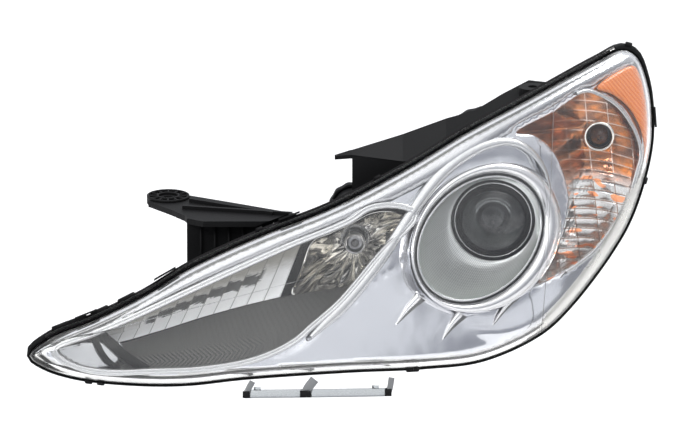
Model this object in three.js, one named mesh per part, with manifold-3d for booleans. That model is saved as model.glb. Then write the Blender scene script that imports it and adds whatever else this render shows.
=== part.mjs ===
// Left-hand car headlight assembly, in millimetres.
//
// Car frame: +X outboard, +Y to the rear of the car, +Z up. The origin is the bolt hole of the inboard
// mounting arm, at the arm's upper face.
// Drawing frame: the lamp is styled on a plane leaning back by TILT. A point of it is (x across, h up the
// plane, s behind the plane), and skin(x, h) is the front of the lens. In three.js axes that is (x, s, h).
import * as THREE from "three";
import { mergeVertices } from "three/addons/utils/BufferGeometryUtils.js";
import Module from "manifold-3d";

const wasm = await Module();
wasm.setup();

// ---------------------------------------------------------------- driving dimensions
const DEG = Math.PI / 180;
const TILT = 16 * DEG;
const DATUM = { x: 281, y: -164, z: 22 }; // where the drawing frame's origin lies in the car frame
const INBOARD_X = -396; // x of the inboard tip of the lens
const LENS_SPAN = 538; // from the inboard tip to the outboard edge
const SWEEP = { even: 150, late: 160 }; // how far the skin sweeps back, evenly and towards the outboard end
const RAKE = 0.25; // how fast the skin leans back with height
const CROWN = 0.0007; // how much it curves back above and below its middle
const LENS_WALL = 3;
const LENS_FOOT_DEPTH = 24; // how far back the side wall of the lens reaches
const HOUSING_WALL = 3;
const GAP = 0.4; // between pieces that seat against each other
const CENTRE = { x: -60, h: -20 }; // what the outlines shrink towards
const RIM_POINTS = 40;
const ROUND = 20; // sides of a turned piece

const OPTICS_Z = -57; // height of both lamps' axes in the car frame, before DATUM
const LOW = { x: 0, lensY: 203, lensR: 32, bowlEndY: 334, neckNear: 300, neckFar: 395, neckR: 49 };
const HIGH = { x: -120, bulbY: 150, bowlEndY: 160, boreNear: 162, neckNear: 176, neckFar: 254, neckR: 19 };
const TURN = { x: 94, z: -12, bulbY: 317, neckNear: 340, neckFar: 392, neckR: 15 };
const MARKER = { x: 112, z: 16, bulbY: 352, neckNear: 372, neckFar: 412, neckR: 12 };
const VENT = { x: -200, z: -75, neckNear: 100, neckFar: 126, neckR: 7 };
const PLUG = { x: -46, z: -128, width: 34, height: 20, near: 264, floor: 304, far: 330 };
const NECK_WALL = 3;

const AIM_Y = 262; // the aim axis runs along X through this point, at OPTICS_Z
const PIVOT_X = { inboard: -62, outboard: 53 };
const AIM_X = -10;
const AIM_ARM = 68; // from the aim axis down to the adjuster's ball
const AIM_NECK = { near: 318, far: 358, r: 10 };
const BALL_R = 5;
const BALL_CLEARANCE = 0.45;

const ARM = { top: -22, thickness: 5, bossX: -281, bossY: 164, bossR: 18.5, boltR: 4.2, wall: 3.2 };
const BRACKET = { wall: 3.2, rise: 1.56, padX: 36, padY: 314, padZ: 36, padR: 12, boltR: 4 };

// ---------------------------------------------------------------- styling lines, as [x, h]
const LENS_LINE = [
  [-396, -111], [-380, -97], [-341, -81], [-300, -61], [-260, -37], [-201, -10], [-140, 14], [-75, 48],
  [-24, 79], [26, 106], [93, 143], [118, 157], [130, 150], [138, 125], [142, 92], [139, 60], [123, 9],
  [104, -24], [66, -72], [41, -94], [-9, -116], [-60, -122], [-125, -124.5], [-214, -130], [-264, -135],
  [-310, -134.5], [-358, -129], [-385, -120],
];
const HIGH_WINDOW = [
  [-373, -107.5], [-341, -94.5], [-310, -81.5], [-258, -57.5], [-214, -37.5], [-175, -20], [-124, 1],
  [-107, 12], [-90, 14.5], [-75, 12], [-70, 8], [-100, -24], [-134, -64], [-157, -84], [-175, -99],
  [-208, -113.5], [-252, -121], [-291, -122.5], [-329, -123.5], [-352, -120], [-367, -113.5],
];
const HIGH_MIRROR_LINE = [
  [-322, -94], [-290, -80], [-240, -56], [-175, -27], [-124, -5], [-104, 5], [-88, 6], [-84, -8],
  [-112, -40], [-137, -48], [-175, -54], [-214, -63], [-252, -75], [-291, -88],
];
const TURN_WINDOW = [
  [20, 80], [54, 99], [81, 115.5], [94, 112.5], [109, 103.5], [119, 91.5], [126, 79], [130, 61], [126, 46],
  [118, 21.5], [104, -1.5], [89, -21], [78, -30], [64.5, -39], [45, -49], [26, -55.5], [35, -43], [47, -29],
  [58.5, -14], [65, 6], [66, 21.5], [62.5, 41], [52.5, 64], [35, 78],
];
const MARKER_LINE = [
  [92, 119.5], [125, 140], [130, 132], [134.5, 113], [136.5, 92], [136, 74], [133, 60], [133, 76],
  [127.5, 91], [119, 104], [105, 114.5],
];
const MARKER_OPENING = [[102, 121], [122, 134], [127, 128], [130.5, 112], [130.5, 99], [123, 106], [112, 116]];
const STRIP_LINE = [
  [-330, -85], [-250, -48.5], [-150, -6.5], [-75, 27], [20, 82], [85, 119], [128, 143], [127, 148],
  [117, 153], [90, 138.5], [26, 101.5], [-24, 74.5], [-75, 43.5], [-140, 9.5], [-201, -14.5], [-260, -41.5],
];
const BOWL_LINE = [
  [-162, -24], [-145, -16], [-124, -5], [-104, 5], [-88, 6], [-82, -8], [-97, -26], [-112, -42], [-137, -54],
  [-162, -59],
];
const FLUTES_TOP = [[-322, -96], [-290, -81.5], [-240, -57.5], [-205, -41], [-171, -26]];
const FLUTES_FOOT = [[-322, -101], [-291, -92], [-252, -79.5], [-214, -68], [-171, -58]];
const FLOOR_FRONT = [
  [-350, -113], [-310, -108], [-270, -110], [-230, -112], [-190, -99], [-162, -86], [-136, -68],
];
const FLOOR_BACK = [[-336, -107], [-306, -101], [-268, -89], [-232, -79], [-190, -71], [-162, -69], [-136, -65]];
const TURN_SHADOW = [[-20, -110], [58, -60], [70, 0], [72, 90], [74, 122], [-20, 140]];
const HANGER_LINE = [[-216, -148], [-86, -148], [-86, -110], [-216, -110]];
const HANGER_GAPS = [
  [[-209.5, -140], [-166, -140], [-166, -100], [-209.5, -100]],
  [[-156.5, -140], [-93, -140], [-93, -100], [-156.5, -100]],
];
const CLIPS = [[-349, -78], [-282, -40], [-176, 8], [141, 95]];
const SHROUD_RIM = { x: -12, h: -12.5, along: 60, across: 45, lean: 45 * DEG };
const RING_RIM = { x: -11, h: -10.5, along: 71, across: 57, lean: 45 * DEG };

// ---------------------------------------------------------------- the lamp's surfaces
const midline = (x) => -110 + 0.26 * (x - INBOARD_X);

function skin(x, h) {
  const t = (x - INBOARD_X) / LENS_SPAN;
  return SWEEP.even * t + SWEEP.late * t ** 3 + RAKE * h + CROWN * (h - midline(x)) ** 2;
}

// How much deeper than its rim the housing is: most behind the low beam, least at the ends.
function housingDepth(x) {
  const inboard = 105;
  const outboard = 60;
  const from = x + 5;
  return 45 + 120 * Math.exp(-((from / (from < 0 ? inboard : outboard)) ** 2));
}

// ---------------------------------------------------------------- outlines
function smooth(points, count = RIM_POINTS) {
  const curve = new THREE.CatmullRomCurve3(
    points.map(([x, h]) => new THREE.Vector3(x, h, 0)), true, "centripetal",
  );
  return curve.getSpacedPoints(count).slice(0, count).map((p) => [p.x, p.y]);
}

function ellipse({ x, h, along, across, lean }, count = RIM_POINTS) {
  return Array.from({ length: count }, (_, i) => {
    const a = (2 * Math.PI * i) / count;
    const u = along * Math.cos(a);
    const v = across * Math.sin(a);
    return [x + u * Math.cos(lean) - v * Math.sin(lean), h + u * Math.sin(lean) + v * Math.cos(lean)];
  });
}

function area(points) {
  return points.reduce((sum, [x, h], i) => {
    const [nextX, nextH] = points[(i + 1) % points.length];
    return sum + (x * nextH - nextX * h) / 2;
  }, 0);
}

// The outline moved inwards by inset, a number or a function of how much the edge faces up.
function inward(points, inset) {
  const side = Math.sign(area(points));
  return points.map(([x, h], i) => {
    const [beforeX, beforeH] = points[(i + points.length - 1) % points.length];
    const [afterX, afterH] = points[(i + 1) % points.length];
    const length = Math.hypot(afterX - beforeX, afterH - beforeH);
    const out = [(side * (afterH - beforeH)) / length, (-side * (afterX - beforeX)) / length];
    const by = typeof inset === "function" ? inset(out[1]) : inset;
    return [x - out[0] * by, h - out[1] * by];
  });
}

// ---------------------------------------------------------------- solids
function tidy(geometry) {
  const bare = geometry.index ? geometry.toNonIndexed() : geometry.clone();
  for (const name of Object.keys(bare.attributes)) if (name !== "position") bare.deleteAttribute(name);
  const merged = mergeVertices(bare, 1e-3);
  const kept = [];
  const index = merged.index.array;
  for (let i = 0; i < index.length; i += 3) {
    const [a, b, c] = index.slice(i, i + 3);
    if (a !== b && b !== c && a !== c) kept.push(a, b, c);
  }
  merged.setIndex(kept);
  return faceOut(merged);
}

function faceOut(geometry) {
  const p = geometry.attributes.position;
  const index = geometry.index.array;
  const [a, b, c] = [new THREE.Vector3(), new THREE.Vector3(), new THREE.Vector3()];
  let volume = 0;
  for (let i = 0; i < index.length; i += 3) {
    a.fromBufferAttribute(p, index[i]);
    b.fromBufferAttribute(p, index[i + 1]);
    c.fromBufferAttribute(p, index[i + 2]);
    volume += a.dot(b.cross(c));
  }
  if (volume < 0) {
    const turned = Array.from(index);
    for (let i = 0; i < turned.length; i += 3) [turned[i + 1], turned[i + 2]] = [turned[i + 2], turned[i + 1]];
    geometry.setIndex(turned);
  }
  return geometry;
}

function solid(geometry) {
  const clean = tidy(geometry);
  return new wasm.Manifold(new wasm.Mesh({
    numProp: 3,
    vertProperties: new Float32Array(clean.attributes.position.array),
    triVerts: new Uint32Array(clean.index.array),
  }));
}

function geometryOf(manifold) {
  const mesh = manifold.getMesh();
  return new THREE.BufferGeometry()
    .setAttribute("position", new THREE.BufferAttribute(new Float32Array(mesh.vertProperties), 3))
    .setIndex(new THREE.BufferAttribute(new Uint32Array(mesh.triVerts), 1));
}

const join = (first, ...others) => geometryOf(others.reduce((sum, g) => sum.add(solid(g)), solid(first)));
const cut = (first, ...others) => geometryOf(others.reduce((sum, g) => sum.subtract(solid(g)), solid(first)));
const common = (a, b) => geometryOf(solid(a).intersect(solid(b)));

// Skins a row of rings, each a list of [x, y, z]. A closed row meets itself; an open one is capped at its ends.
function skinned(rings, closed = false) {
  const count = rings[0].length;
  const points = rings.flat(2);
  const index = [];
  const last = closed ? rings.length : rings.length - 1;
  for (let r = 0; r < last; r++) {
    const here = r * count;
    const next = ((r + 1) % rings.length) * count;
    for (let i = 0; i < count; i++) {
      const j = (i + 1) % count;
      index.push(here + i, next + i, next + j, here + i, next + j, here + j);
    }
  }
  if (!closed) {
    for (const [ring, flip] of [[rings[0], false], [rings.at(-1), true]]) {
      const middle = points.length / 3;
      for (let k = 0; k < 3; k++) points.push(ring.reduce((sum, p) => sum + p[k], 0) / count);
      const start = rings.indexOf(ring) * count;
      for (let i = 0; i < count; i++) {
        const j = (i + 1) % count;
        index.push(middle, start + (flip ? j : i), start + (flip ? i : j));
      }
    }
  }
  return tidy(new THREE.BufferGeometry()
    .setAttribute("position", new THREE.BufferAttribute(new Float32Array(points), 3)).setIndex(index));
}

// A ring of the outline: inset, shrunk towards CENTRE, and laid depth behind the skin.
function rimRing(outline, { inset = 0, shrink = 0, depth = 0, rear = 0 }) {
  return inward(outline, inset).map(([x, h]) => {
    const px = x + (CENTRE.x - x) * shrink;
    const ph = h + (CENTRE.h - h) * shrink;
    return [px, skin(px, ph) + depth + rear * housingDepth(px), ph];
  });
}

const rimLoft = (outline, stations, closed) => skinned(stations.map((s) => rimRing(outline, s)), closed);

// A straight prism of the outline, from s = near to s = far.
function prism(outline, near, far) {
  const shape = new THREE.Shape(outline.map(([x, h]) => new THREE.Vector2(x, h)));
  return new THREE.ExtrudeGeometry(shape, { depth: far - near, bevelEnabled: false, steps: 1 })
    .rotateX(Math.PI / 2).translate(0, far, 0);
}

// The part of the skin's own curve inside the outline, between two depths behind the skin.
function panel(outline, near, far, holes = [], cells = 14) {
  const xs = outline.map((p) => p[0]);
  const hs = outline.map((p) => p[1]);
  const [x0, x1, h0, h1] = [Math.min(...xs) - 2, Math.max(...xs) + 2, Math.min(...hs) - 2, Math.max(...hs) + 2];
  const across = Math.max(3, Math.round((cells * (x1 - x0)) / Math.max(x1 - x0, h1 - h0)));
  const up = Math.max(3, Math.round((cells * (h1 - h0)) / Math.max(x1 - x0, h1 - h0)));
  const slab = new THREE.BoxGeometry(x1 - x0, 1, h1 - h0, across, 1, up)
    .translate((x0 + x1) / 2, 0, (h0 + h1) / 2);
  const p = slab.attributes.position;
  for (let i = 0; i < p.count; i++) {
    const depth = p.getY(i) < 0 ? near : far;
    p.setY(i, skin(p.getX(i), p.getZ(i)) + depth);
  }
  const trimmed = solid(slab).intersect(solid(prism(outline, -200, 600)));
  return geometryOf(holes.reduce((sum, hole) => sum.subtract(solid(prism(hole, -200, 600))), trimmed));
}

// A point of the car frame's YZ plane, as [h, s] of the drawing frame.
const toDrawing = (y, z) => [y * Math.sin(TILT) + z * Math.cos(TILT), y * Math.cos(TILT) - z * Math.sin(TILT)];

// The rings of a bowl from an outline on the skin back to a round hole that faces along the car's Y axis.
function bowlRings(outline, frontDepth, hole, grow) {
  const [holeH, holeS] = toDrawing(hole.y, hole.z);
  const grown = inward(outline, -grow);
  const side = Math.sign(area(outline));
  const turnOf = (i) => (side * 2 * Math.PI * i) / outline.length;
  const lead = grown.reduce((sum, [x, h], i) => {
    const off = Math.atan2(h - holeH, x - hole.x) - turnOf(i);
    return [sum[0] + Math.cos(off), sum[1] + Math.sin(off)];
  }, [0, 0]);
  const start = Math.atan2(lead[1], lead[0]);
  return [0, 0.3, 0.65, 1].map((share) => grown.map(([x, h], i) => {
    const a = start + turnOf(i);
    const r = hole.r + grow;
    const end = [hole.x + r * Math.cos(a), holeH + r * Math.sin(a) * Math.cos(TILT)];
    const endS = holeS - r * Math.sin(a) * Math.sin(TILT);
    const front = skin(x, h) + frontDepth;
    const s = front + (endS - front) * (1 - (1 - share) ** 2) + grow;
    return [x + (end[0] - x) * share, s, h + (end[1] - h) * share];
  }));
}

function bowl(outline, frontDepth, hole, wall) {
  return skinned([...bowlRings(outline, frontDepth, hole, 0), ...bowlRings(outline, frontDepth, hole, wall).reverse()],
    true);
}

// A sheet between two lines of [x, h], each laid at its own depth behind the skin.
function sheet(front, frontDepth, back, backDepth, wall, count = 14) {
  const along = (points) => new THREE.CatmullRomCurve3(points.map(([x, h]) => new THREE.Vector3(x, h, 0)))
    .getSpacedPoints(count);
  const near = along(front);
  const far = along(back);
  return skinned(near.map((p, i) => {
    const q = far[i];
    const pS = skin(p.x, p.y) + frontDepth;
    const qS = skin(q.x, q.y) + backDepth;
    return [[p.x, pS, p.y], [q.x, qS, q.y], [q.x, qS, q.y - wall], [p.x, pS, p.y - wall]];
  }));
}

// A turned piece about the car's Y axis: profile is a closed list of [radius, y].
function turned(profile, sides = ROUND) {
  const points = [...profile, profile[0]].map(([r, y]) => new THREE.Vector2(r, y));
  return tidy(new THREE.LatheGeometry(points, sides));
}

const tube = (inner, outer, near, far, sides) =>
  turned([[inner, near], [outer, near], [outer, far], [inner, far]], sides);
const rod = (radius, near, far, sides) => turned([[0, near], [radius, near], [radius, far], [0, far]], sides);

// The same piece seen in the drawing frame, which leans back from the car frame by TILT.
const inDrawing = (geometry) => geometry.clone().rotateX(TILT);
const inCar = (geometry) => geometry.clone().rotateX(-TILT);
const at = (geometry, x, y, z) => geometry.clone().translate(x, y, z);

// A plate of the car frame: an outline of [x, y] between two heights.
function plate(outline, low, high) {
  const shape = new THREE.Shape(outline.map(([x, y]) => new THREE.Vector2(x, y)));
  return new THREE.ExtrudeGeometry(shape, { depth: high - low, bevelEnabled: false, steps: 1 })
    .translate(0, 0, low);
}

const ball = (radius, y) => new THREE.SphereGeometry(radius, 12, 8).translate(0, y, 0);

function block([x0, y0, z0], [x1, y1, z1]) {
  return new THREE.BoxGeometry(x1 - x0, y1 - y0, z1 - z0)
    .translate((x0 + x1) / 2, (y0 + y1) / 2, (z0 + z1) / 2);
}

// ---------------------------------------------------------------- materials
const finish = (color, roughness, metalness, extra = {}) =>
  new THREE.MeshStandardMaterial({ color, roughness, metalness, ...extra });
const blackPlastic = finish(0x161617, 0.55, 0);
const clearPlastic = finish(0xe8eef2, 0.05, 0, { transparent: true, opacity: 0.3 });
const chrome = finish(0xd8d9e0, 0.12, 1);
const satinSilver = finish(0xd3d6dc, 0.35, 0.8);
const mirror = finish(0xd6d2c8, 0.08, 1);
const darkChrome = finish(0x53564f, 0.35, 0.8);
const amber = finish(0xe8842a, 0.15, 0, { transparent: true, opacity: 0.75 });
const glass = finish(0xe6f0f5, 0.03, 0, { transparent: true, opacity: 0.35 });
const rubber = finish(0x202020, 0.85, 0);
const steel = finish(0xa9abae, 0.35, 1);
const aluminium = finish(0xb4b6b8, 0.4, 1);
const greyPlastic = finish(0x5c5e60, 0.6, 0);

// ---------------------------------------------------------------- scene graph
const lamp = new THREE.Group();
const car = new THREE.Group(); // axes as the car's, origin at the drawing frame's origin
car.position.set(DATUM.x, DATUM.y, DATUM.z);
const drawing = new THREE.Group();
drawing.rotation.x = -TILT;
car.add(drawing);
lamp.add(car);

function node(name, geometry, material, parent = car, position = [0, 0, 0]) {
  const mesh = new THREE.Mesh(tidy(geometry), material);
  mesh.name = name;
  mesh.position.set(...position);
  parent.add(mesh);
  return mesh;
}

// ---------------------------------------------------------------- lens, seal and housing
const lensLine = smooth(LENS_LINE);
const rimFlare = (extra) => (up) => -(2.6 + 4.2 * Math.max(0, up)) - extra; // the rim stands out most on top

function outerLens() {
  const wall = LENS_WALL;
  const front = [
    { inset: 11, shrink: 1 }, { inset: 11, shrink: 0.66 }, { inset: 11, shrink: 0.33 }, { inset: 11 },
    { inset: 5, depth: 0.9 }, { inset: 1.6, depth: 3.6 }, { inset: 0.2, depth: 9 }, { inset: -0.5, depth: LENS_FOOT_DEPTH },
  ];
  const back = [
    { inset: 2.2, depth: LENS_FOOT_DEPTH }, { inset: 3, depth: 10.5 }, { inset: 5, depth: 6 },
    { inset: 11, depth: wall }, { inset: 11, shrink: 0.33, depth: wall }, { inset: 11, shrink: 0.66, depth: wall },
    { inset: 11, shrink: 1, depth: wall },
  ];
  return rimLoft(lensLine, [...front, ...back], false);
}

function lensSeal() {
  const near = LENS_FOOT_DEPTH + GAP;
  const far = near + 2.6;
  return rimLoft(lensLine, [
    { inset: -0.5, depth: near }, { inset: -0.5, depth: far }, { inset: 2.4, depth: far }, { inset: 2.4, depth: near },
  ], true);
}

const CHANNEL = { near: 15, floor: 27.4, outerFace: -1.1, innerFace: 3.5, innerTop: 16, innerBack: 5.5 };
const REAR_STATIONS = [
  { inset: 3.5, depth: 34, rear: 0.1 }, { inset: 6, shrink: 0.05, depth: 34, rear: 0.42 },
  { inset: 6, shrink: 0.15, depth: 34, rear: 0.74 }, { inset: 6, shrink: 0.32, depth: 34, rear: 0.93 },
  { inset: 6, shrink: 0.6, depth: 34, rear: 1 }, { inset: 6, shrink: 1, depth: 34, rear: 1 },
];

function housingShell() {
  const outside = [
    { inset: rimFlare(0), depth: CHANNEL.near }, { inset: rimFlare(0), depth: 30 }, ...REAR_STATIONS,
  ];
  const inside = REAR_STATIONS.map((s) => ({ ...s, inset: s.inset + HOUSING_WALL, depth: s.depth - HOUSING_WALL }));
  const channel = [
    { inset: CHANNEL.innerBack, depth: 31 }, { inset: CHANNEL.innerBack, depth: CHANNEL.innerTop },
    { inset: CHANNEL.innerFace, depth: CHANNEL.innerTop }, { inset: CHANNEL.innerFace, depth: CHANNEL.floor },
    { inset: CHANNEL.outerFace, depth: CHANNEL.floor }, { inset: CHANNEL.outerFace, depth: CHANNEL.near },
  ];
  return rimLoft(lensLine, [...inside.reverse(), ...channel, ...outside], false);
}

// What the brackets are cut by, so that they meet the housing with a gap.
function housingEnvelope(rimGap = GAP) {
  const stations = [
    { shrink: 1, depth: -20 }, { inset: rimFlare(rimGap), depth: -20 },
    { inset: rimFlare(rimGap), depth: 30 + rimGap },
    ...REAR_STATIONS.map((s) => ({ ...s, inset: s.inset - GAP, depth: s.depth + GAP })),
  ];
  return rimLoft(lensLine, stations, false);
}

const AIM_PORT = { x: AIM_X, z: OPTICS_Z - AIM_ARM, neckNear: AIM_NECK.near, neckFar: AIM_NECK.far, neckR: AIM_NECK.r };
const NECKS = [
  { ...LOW, z: OPTICS_Z }, { ...HIGH, z: OPTICS_Z }, TURN, MARKER, VENT, AIM_PORT,
];

function housing() {
  let body = solid(housingShell());
  const sidesOf = (neck) => (neck.neckR > 20 ? ROUND : 12);
  for (const neck of NECKS) {
    body = body.add(solid(inDrawing(at(rod(neck.neckR, neck.neckNear, neck.neckFar, sidesOf(neck)), neck.x, 0, neck.z))));
  }
  for (const x of Object.values(PIVOT_X)) {
    body = body.add(solid(inDrawing(at(rod(6, AIM_Y + 14, AIM_Y + 60, 12), x, 0, OPTICS_Z))));
  }
  for (const neck of NECKS) {
    const near = neck.boreNear ?? neck.neckNear;
    const bore = rod(neck.neckR - NECK_WALL, near - 1, neck.neckFar + 1, sidesOf(neck));
    body = body.subtract(solid(inDrawing(at(bore, neck.x, 0, neck.z))));
  }
  const [halfWidth, halfHeight] = [PLUG.width / 2 + GAP, PLUG.height / 2 + GAP];
  const slot = block([PLUG.x - halfWidth, 240, PLUG.z - halfHeight], [PLUG.x + halfWidth, 330, PLUG.z + halfHeight]);
  return geometryOf(body.subtract(solid(inDrawing(slot))));
}

node("outer_lens", outerLens(), clearPlastic, drawing);
node("lens_seal", lensSeal(), rubber, drawing);
node("housing", housing(), blackPlastic, drawing);

// ---------------------------------------------------------------- clips round the rim
function rimClip([x, h]) {
  const near = 12;
  const far = 33;
  const hoop = rimLoft(lensLine, [
    { inset: rimFlare(GAP), depth: near }, { inset: rimFlare(2), depth: near },
    { inset: rimFlare(2), depth: far }, { inset: rimFlare(GAP), depth: far },
  ], true);
  const half = 9;
  const around = [[x - half, h - half], [x + half, h - half], [x + half, h + half], [x - half, h + half]];
  return common(hoop, prism(around, -200, 600));
}

CLIPS.forEach((place, i) => node(`lens_clip_${i + 1}`, rimClip(place), blackPlastic, drawing));

// ---------------------------------------------------------------- trim behind the lens
const BAND_WIDTH = 5;
const TURN_RING_WIDTH = 3.6;
const TRIM = { bezel: [10.5, 12.7], overlay: [7.2, 9.2], ring: [5, 9.2], back: 14.5 };
const highWindow = smooth(HIGH_WINDOW, 32);
const turnWindow = smooth(TURN_WINDOW, 30);
const markerLine = smooth(MARKER_LINE, 18);
const trimEdge = inward(lensLine, 7.5);
const grownEllipse = (rim, by) => ellipse({ ...rim, along: rim.along + by, across: rim.across + by }, 30);

function withinTrim(geometry) {
  return common(geometry, prism(trimEdge, -200, 600));
}

function bezel() {
  const holes = [highWindow, grownEllipse(SHROUD_RIM, 3), turnWindow, MARKER_OPENING];
  return panel(trimEdge, ...TRIM.bezel, holes, 11);
}

function bezelBand() {
  const ringRoom = grownEllipse(RING_RIM, 1);
  return withinTrim(panel(inward(highWindow, -BAND_WIDTH), ...TRIM.overlay, [highWindow, ringRoom], 8));
}

function turnRing() {
  return withinTrim(panel(inward(turnWindow, -TURN_RING_WIDTH), ...TRIM.overlay, [turnWindow, TURN_SHADOW], 6));
}

function upperStrip() {
  const neighbours = [[highWindow, BAND_WIDTH], [turnWindow, TURN_RING_WIDTH], [markerLine, 0]];
  const rooms = neighbours.map(([outline, width]) => inward(outline, -width - 0.8));
  return withinTrim(panel(STRIP_LINE, ...TRIM.overlay, rooms, 10));
}

node("bezel", bezel(), chrome, drawing);
node("bezel_band", bezelBand(), satinSilver, drawing);
node("upper_strip", upperStrip(), satinSilver, drawing);
node("turn_ring", turnRing(), satinSilver, drawing);
node("side_marker_lens", withinTrim(panel(markerLine, ...TRIM.overlay, [], 5)), amber, drawing);
node("projector_ring",
  panel(grownEllipse(RING_RIM, 0), ...TRIM.ring, [grownEllipse(SHROUD_RIM, 3)], 5), chrome, drawing);

// ---------------------------------------------------------------- fixed bowls and panels
const shroudHole = { x: LOW.x, y: 213, z: OPTICS_Z, r: 36.5 };
node("projector_shroud", bowl(ellipse(SHROUD_RIM, 28), TRIM.back, shroudHole, 2), darkChrome, drawing);
const turnHole = { x: TURN.x, y: TURN.bulbY + 8, z: TURN.z, r: 11 };
node("turn_reflector", bowl(turnWindow, TRIM.back, turnHole, 1.8), mirror, drawing);
node("flute_panel", sheet(FLUTES_TOP, TRIM.back + 2, FLUTES_FOOT, 44, 2, 8), mirror, drawing);
node("high_beam_floor", sheet(FLOOR_FRONT, TRIM.back, FLOOR_BACK, 40, 2, 10), greyPlastic, drawing);

// ---------------------------------------------------------------- mounting arm and brackets
function inboardArm() {
  const { top, thickness, bossX, bossY, bossR, boltR, wall } = ARM;
  const outline = [
    [-283, 182], [-225, 147], [-172, 114], [-158, 106], [-160, 96], [-200, 88], [-250, 88], [-263, 97],
    [-266, 106], [-277, 123], [-298, 151],
  ];
  const boss = (r, low, high) => at(new THREE.CylinderGeometry(r, r, high - low, 24).rotateX(Math.PI / 2),
    bossX, bossY, (low + high) / 2);
  const ribs = [[[-268, 128], [-172, 106]], [[-262, 150], [-190, 108]]].map(([[x0, y0], [x1, y1]]) => {
    const [dx, dy] = [x1 - x0, y1 - y0];
    const side = wall / 2 / Math.hypot(dx, dy);
    const corner = (x, y, sign) => [x - sign * dy * side, y + sign * dx * side];
    return plate([corner(x0, y0, 1), corner(x0, y0, -1), corner(x1, y1, -1), corner(x1, y1, 1)], top - 1, top + 3);
  });
  const sideWall = block([-264, 98, -84], [-264 + wall, 134, top - 1]);
  const backWall = block([-264, 98, -84], [-190, 98 + wall, top - 1]);
  const arm = join(plate(outline, top - thickness, top), boss(bossR, top - thickness, top), ...ribs, sideWall, backWall);
  return cut(arm, boss(boltR, top - 20, top + 20), inCar(housingEnvelope(3)));
}

// Each station of the folded bracket: [x, height of its crease, height of its rear edge, foot of its web].
const BRACKET_STATIONS = [
  [-137, 59.5, 60.5, 58], [-123, 60.5, 65, 57], [-122, 60.5, 65, 14], [-78, 55, 79, 30], [-40, 60, 93, 50],
  [-15, 75, 100, 62], [10, 90, 115, 75], [33, 105, 127, 92], [51, 117, 125, 104],
];

function upperBracket() {
  const { wall, rise, padX, padY, padZ, padR, boltR } = BRACKET;
  const creaseS = (x) => 212 + 0.83 * (x + 40) + 0.0009 * (x + 40) ** 2;
  const shelf = skinned(BRACKET_STATIONS.map(([x, crease, edge]) => {
    const s = creaseS(x);
    const reach = rise * (edge - crease) + 1;
    return [[x, s, crease], [x, s + reach, edge], [x, s + reach + 1, edge - wall], [x, s + 1, crease - wall]];
  }));
  const web = skinned(BRACKET_STATIONS.slice(2).map(([x, crease, , foot]) => {
    const s = creaseS(x);
    return [[x, s, crease - 1], [x, s + wall, crease - 1], [x, s + wall, foot], [x, s, foot]];
  }));
  const upright = (r, low, high) => new THREE.CylinderGeometry(r, r, high - low, 24).rotateX(Math.PI / 2)
    .translate(padX, padY, (low + high) / 2);
  const folded = join(inCar(shelf), inCar(web), upright(padR, padZ - 12, padZ));
  return cut(folded, upright(boltR, padZ - 30, padZ + 10), inCar(housingEnvelope()));
}

node("inboard_arm", inboardArm(), blackPlastic);
node("upper_bracket", upperBracket(), blackPlastic);
node("lower_bracket", cut(panel(HANGER_LINE, 8, 14, HANGER_GAPS, 6), housingEnvelope()), clearPlastic, drawing);

// ---------------------------------------------------------------- covers, sockets and connector at the back
function twistCap(neck, gripHalf) {
  const { neckR, neckFar } = neck;
  const lid = turned([
    [0, neckFar + 2.8], [neckR - 8, neckFar + 2.8], [neckR - 8, neckFar - 6], [neckR - 5, neckFar - 6],
    [neckR - 5, neckFar + 2.8], [neckR + 1, neckFar + 2.8], [neckR + 1, neckFar - 5], [neckR + 3.6, neckFar - 5],
    [neckR + 3.6, neckFar + 4], [neckR, neckFar + 7], [0, neckFar + 7],
  ]);
  const grip = block([-neckR * 0.7, neckFar + 5, -gripHalf], [neckR * 0.7, neckFar + 14, gripHalf]);
  return join(lid, grip);
}

const gasket = ({ neckR, neckFar }) => tube(neckR - 2.8, neckR, neckFar + GAP, neckFar + 2.4);

function bulbSocket({ neckR, neckNear, neckFar }) {
  const inner = neckR - NECK_WALL - 0.8;
  const body = turned([
    [0, neckNear + 4], [inner - 1.5, neckNear + 4], [inner, neckNear + 8], [inner, neckFar + GAP],
    [neckR + 2, neckFar + GAP], [neckR + 2, neckFar + 4], [neckR - 2, neckFar + 5], [neckR - 2, neckFar + 14],
    [0, neckFar + 14],
  ], 20);
  return join(body, block([-neckR, neckFar + 3, -2.5], [neckR, neckFar + 10, 2.5]));
}

const wedgeBulb = (radius, near, far) => turned([
  [0, near], [radius * 0.6, near + radius * 0.25], [radius, near + radius], [radius, far - radius],
  [radius * 0.6, far], [0, far],
], 16);

function connectorShell() {
  const { width, height, near, floor, far } = PLUG;
  const [w, h] = [width / 2, height / 2];
  const wall = 2;
  const pocket = block([-w + wall, floor, -h + wall], [w - wall, far + 1, h - wall]);
  const pins = [-2, -1, 0, 1, 2].map((i) => block([i * 5.5 - 0.8, floor - 3, -0.8], [i * 5.5 + 0.8, far - 9, 0.8]));
  const latch = block([-4, far - 8, h - 0.5], [4, far - 3, h + 2]);
  return join(cut(block([-w, near, -h], [w, far, h]), pocket), ...pins, latch);
}

const ventCap = () => turned([
  [0, VENT.neckFar - 8], [VENT.neckR - NECK_WALL - 0.6, VENT.neckFar - 8],
  [VENT.neckR - NECK_WALL - 0.6, VENT.neckFar + GAP], [VENT.neckR + 3, VENT.neckFar + GAP],
  [VENT.neckR + 3, VENT.neckFar + 5], [VENT.neckR, VENT.neckFar + 7], [0, VENT.neckFar + 7],
], 20);

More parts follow.
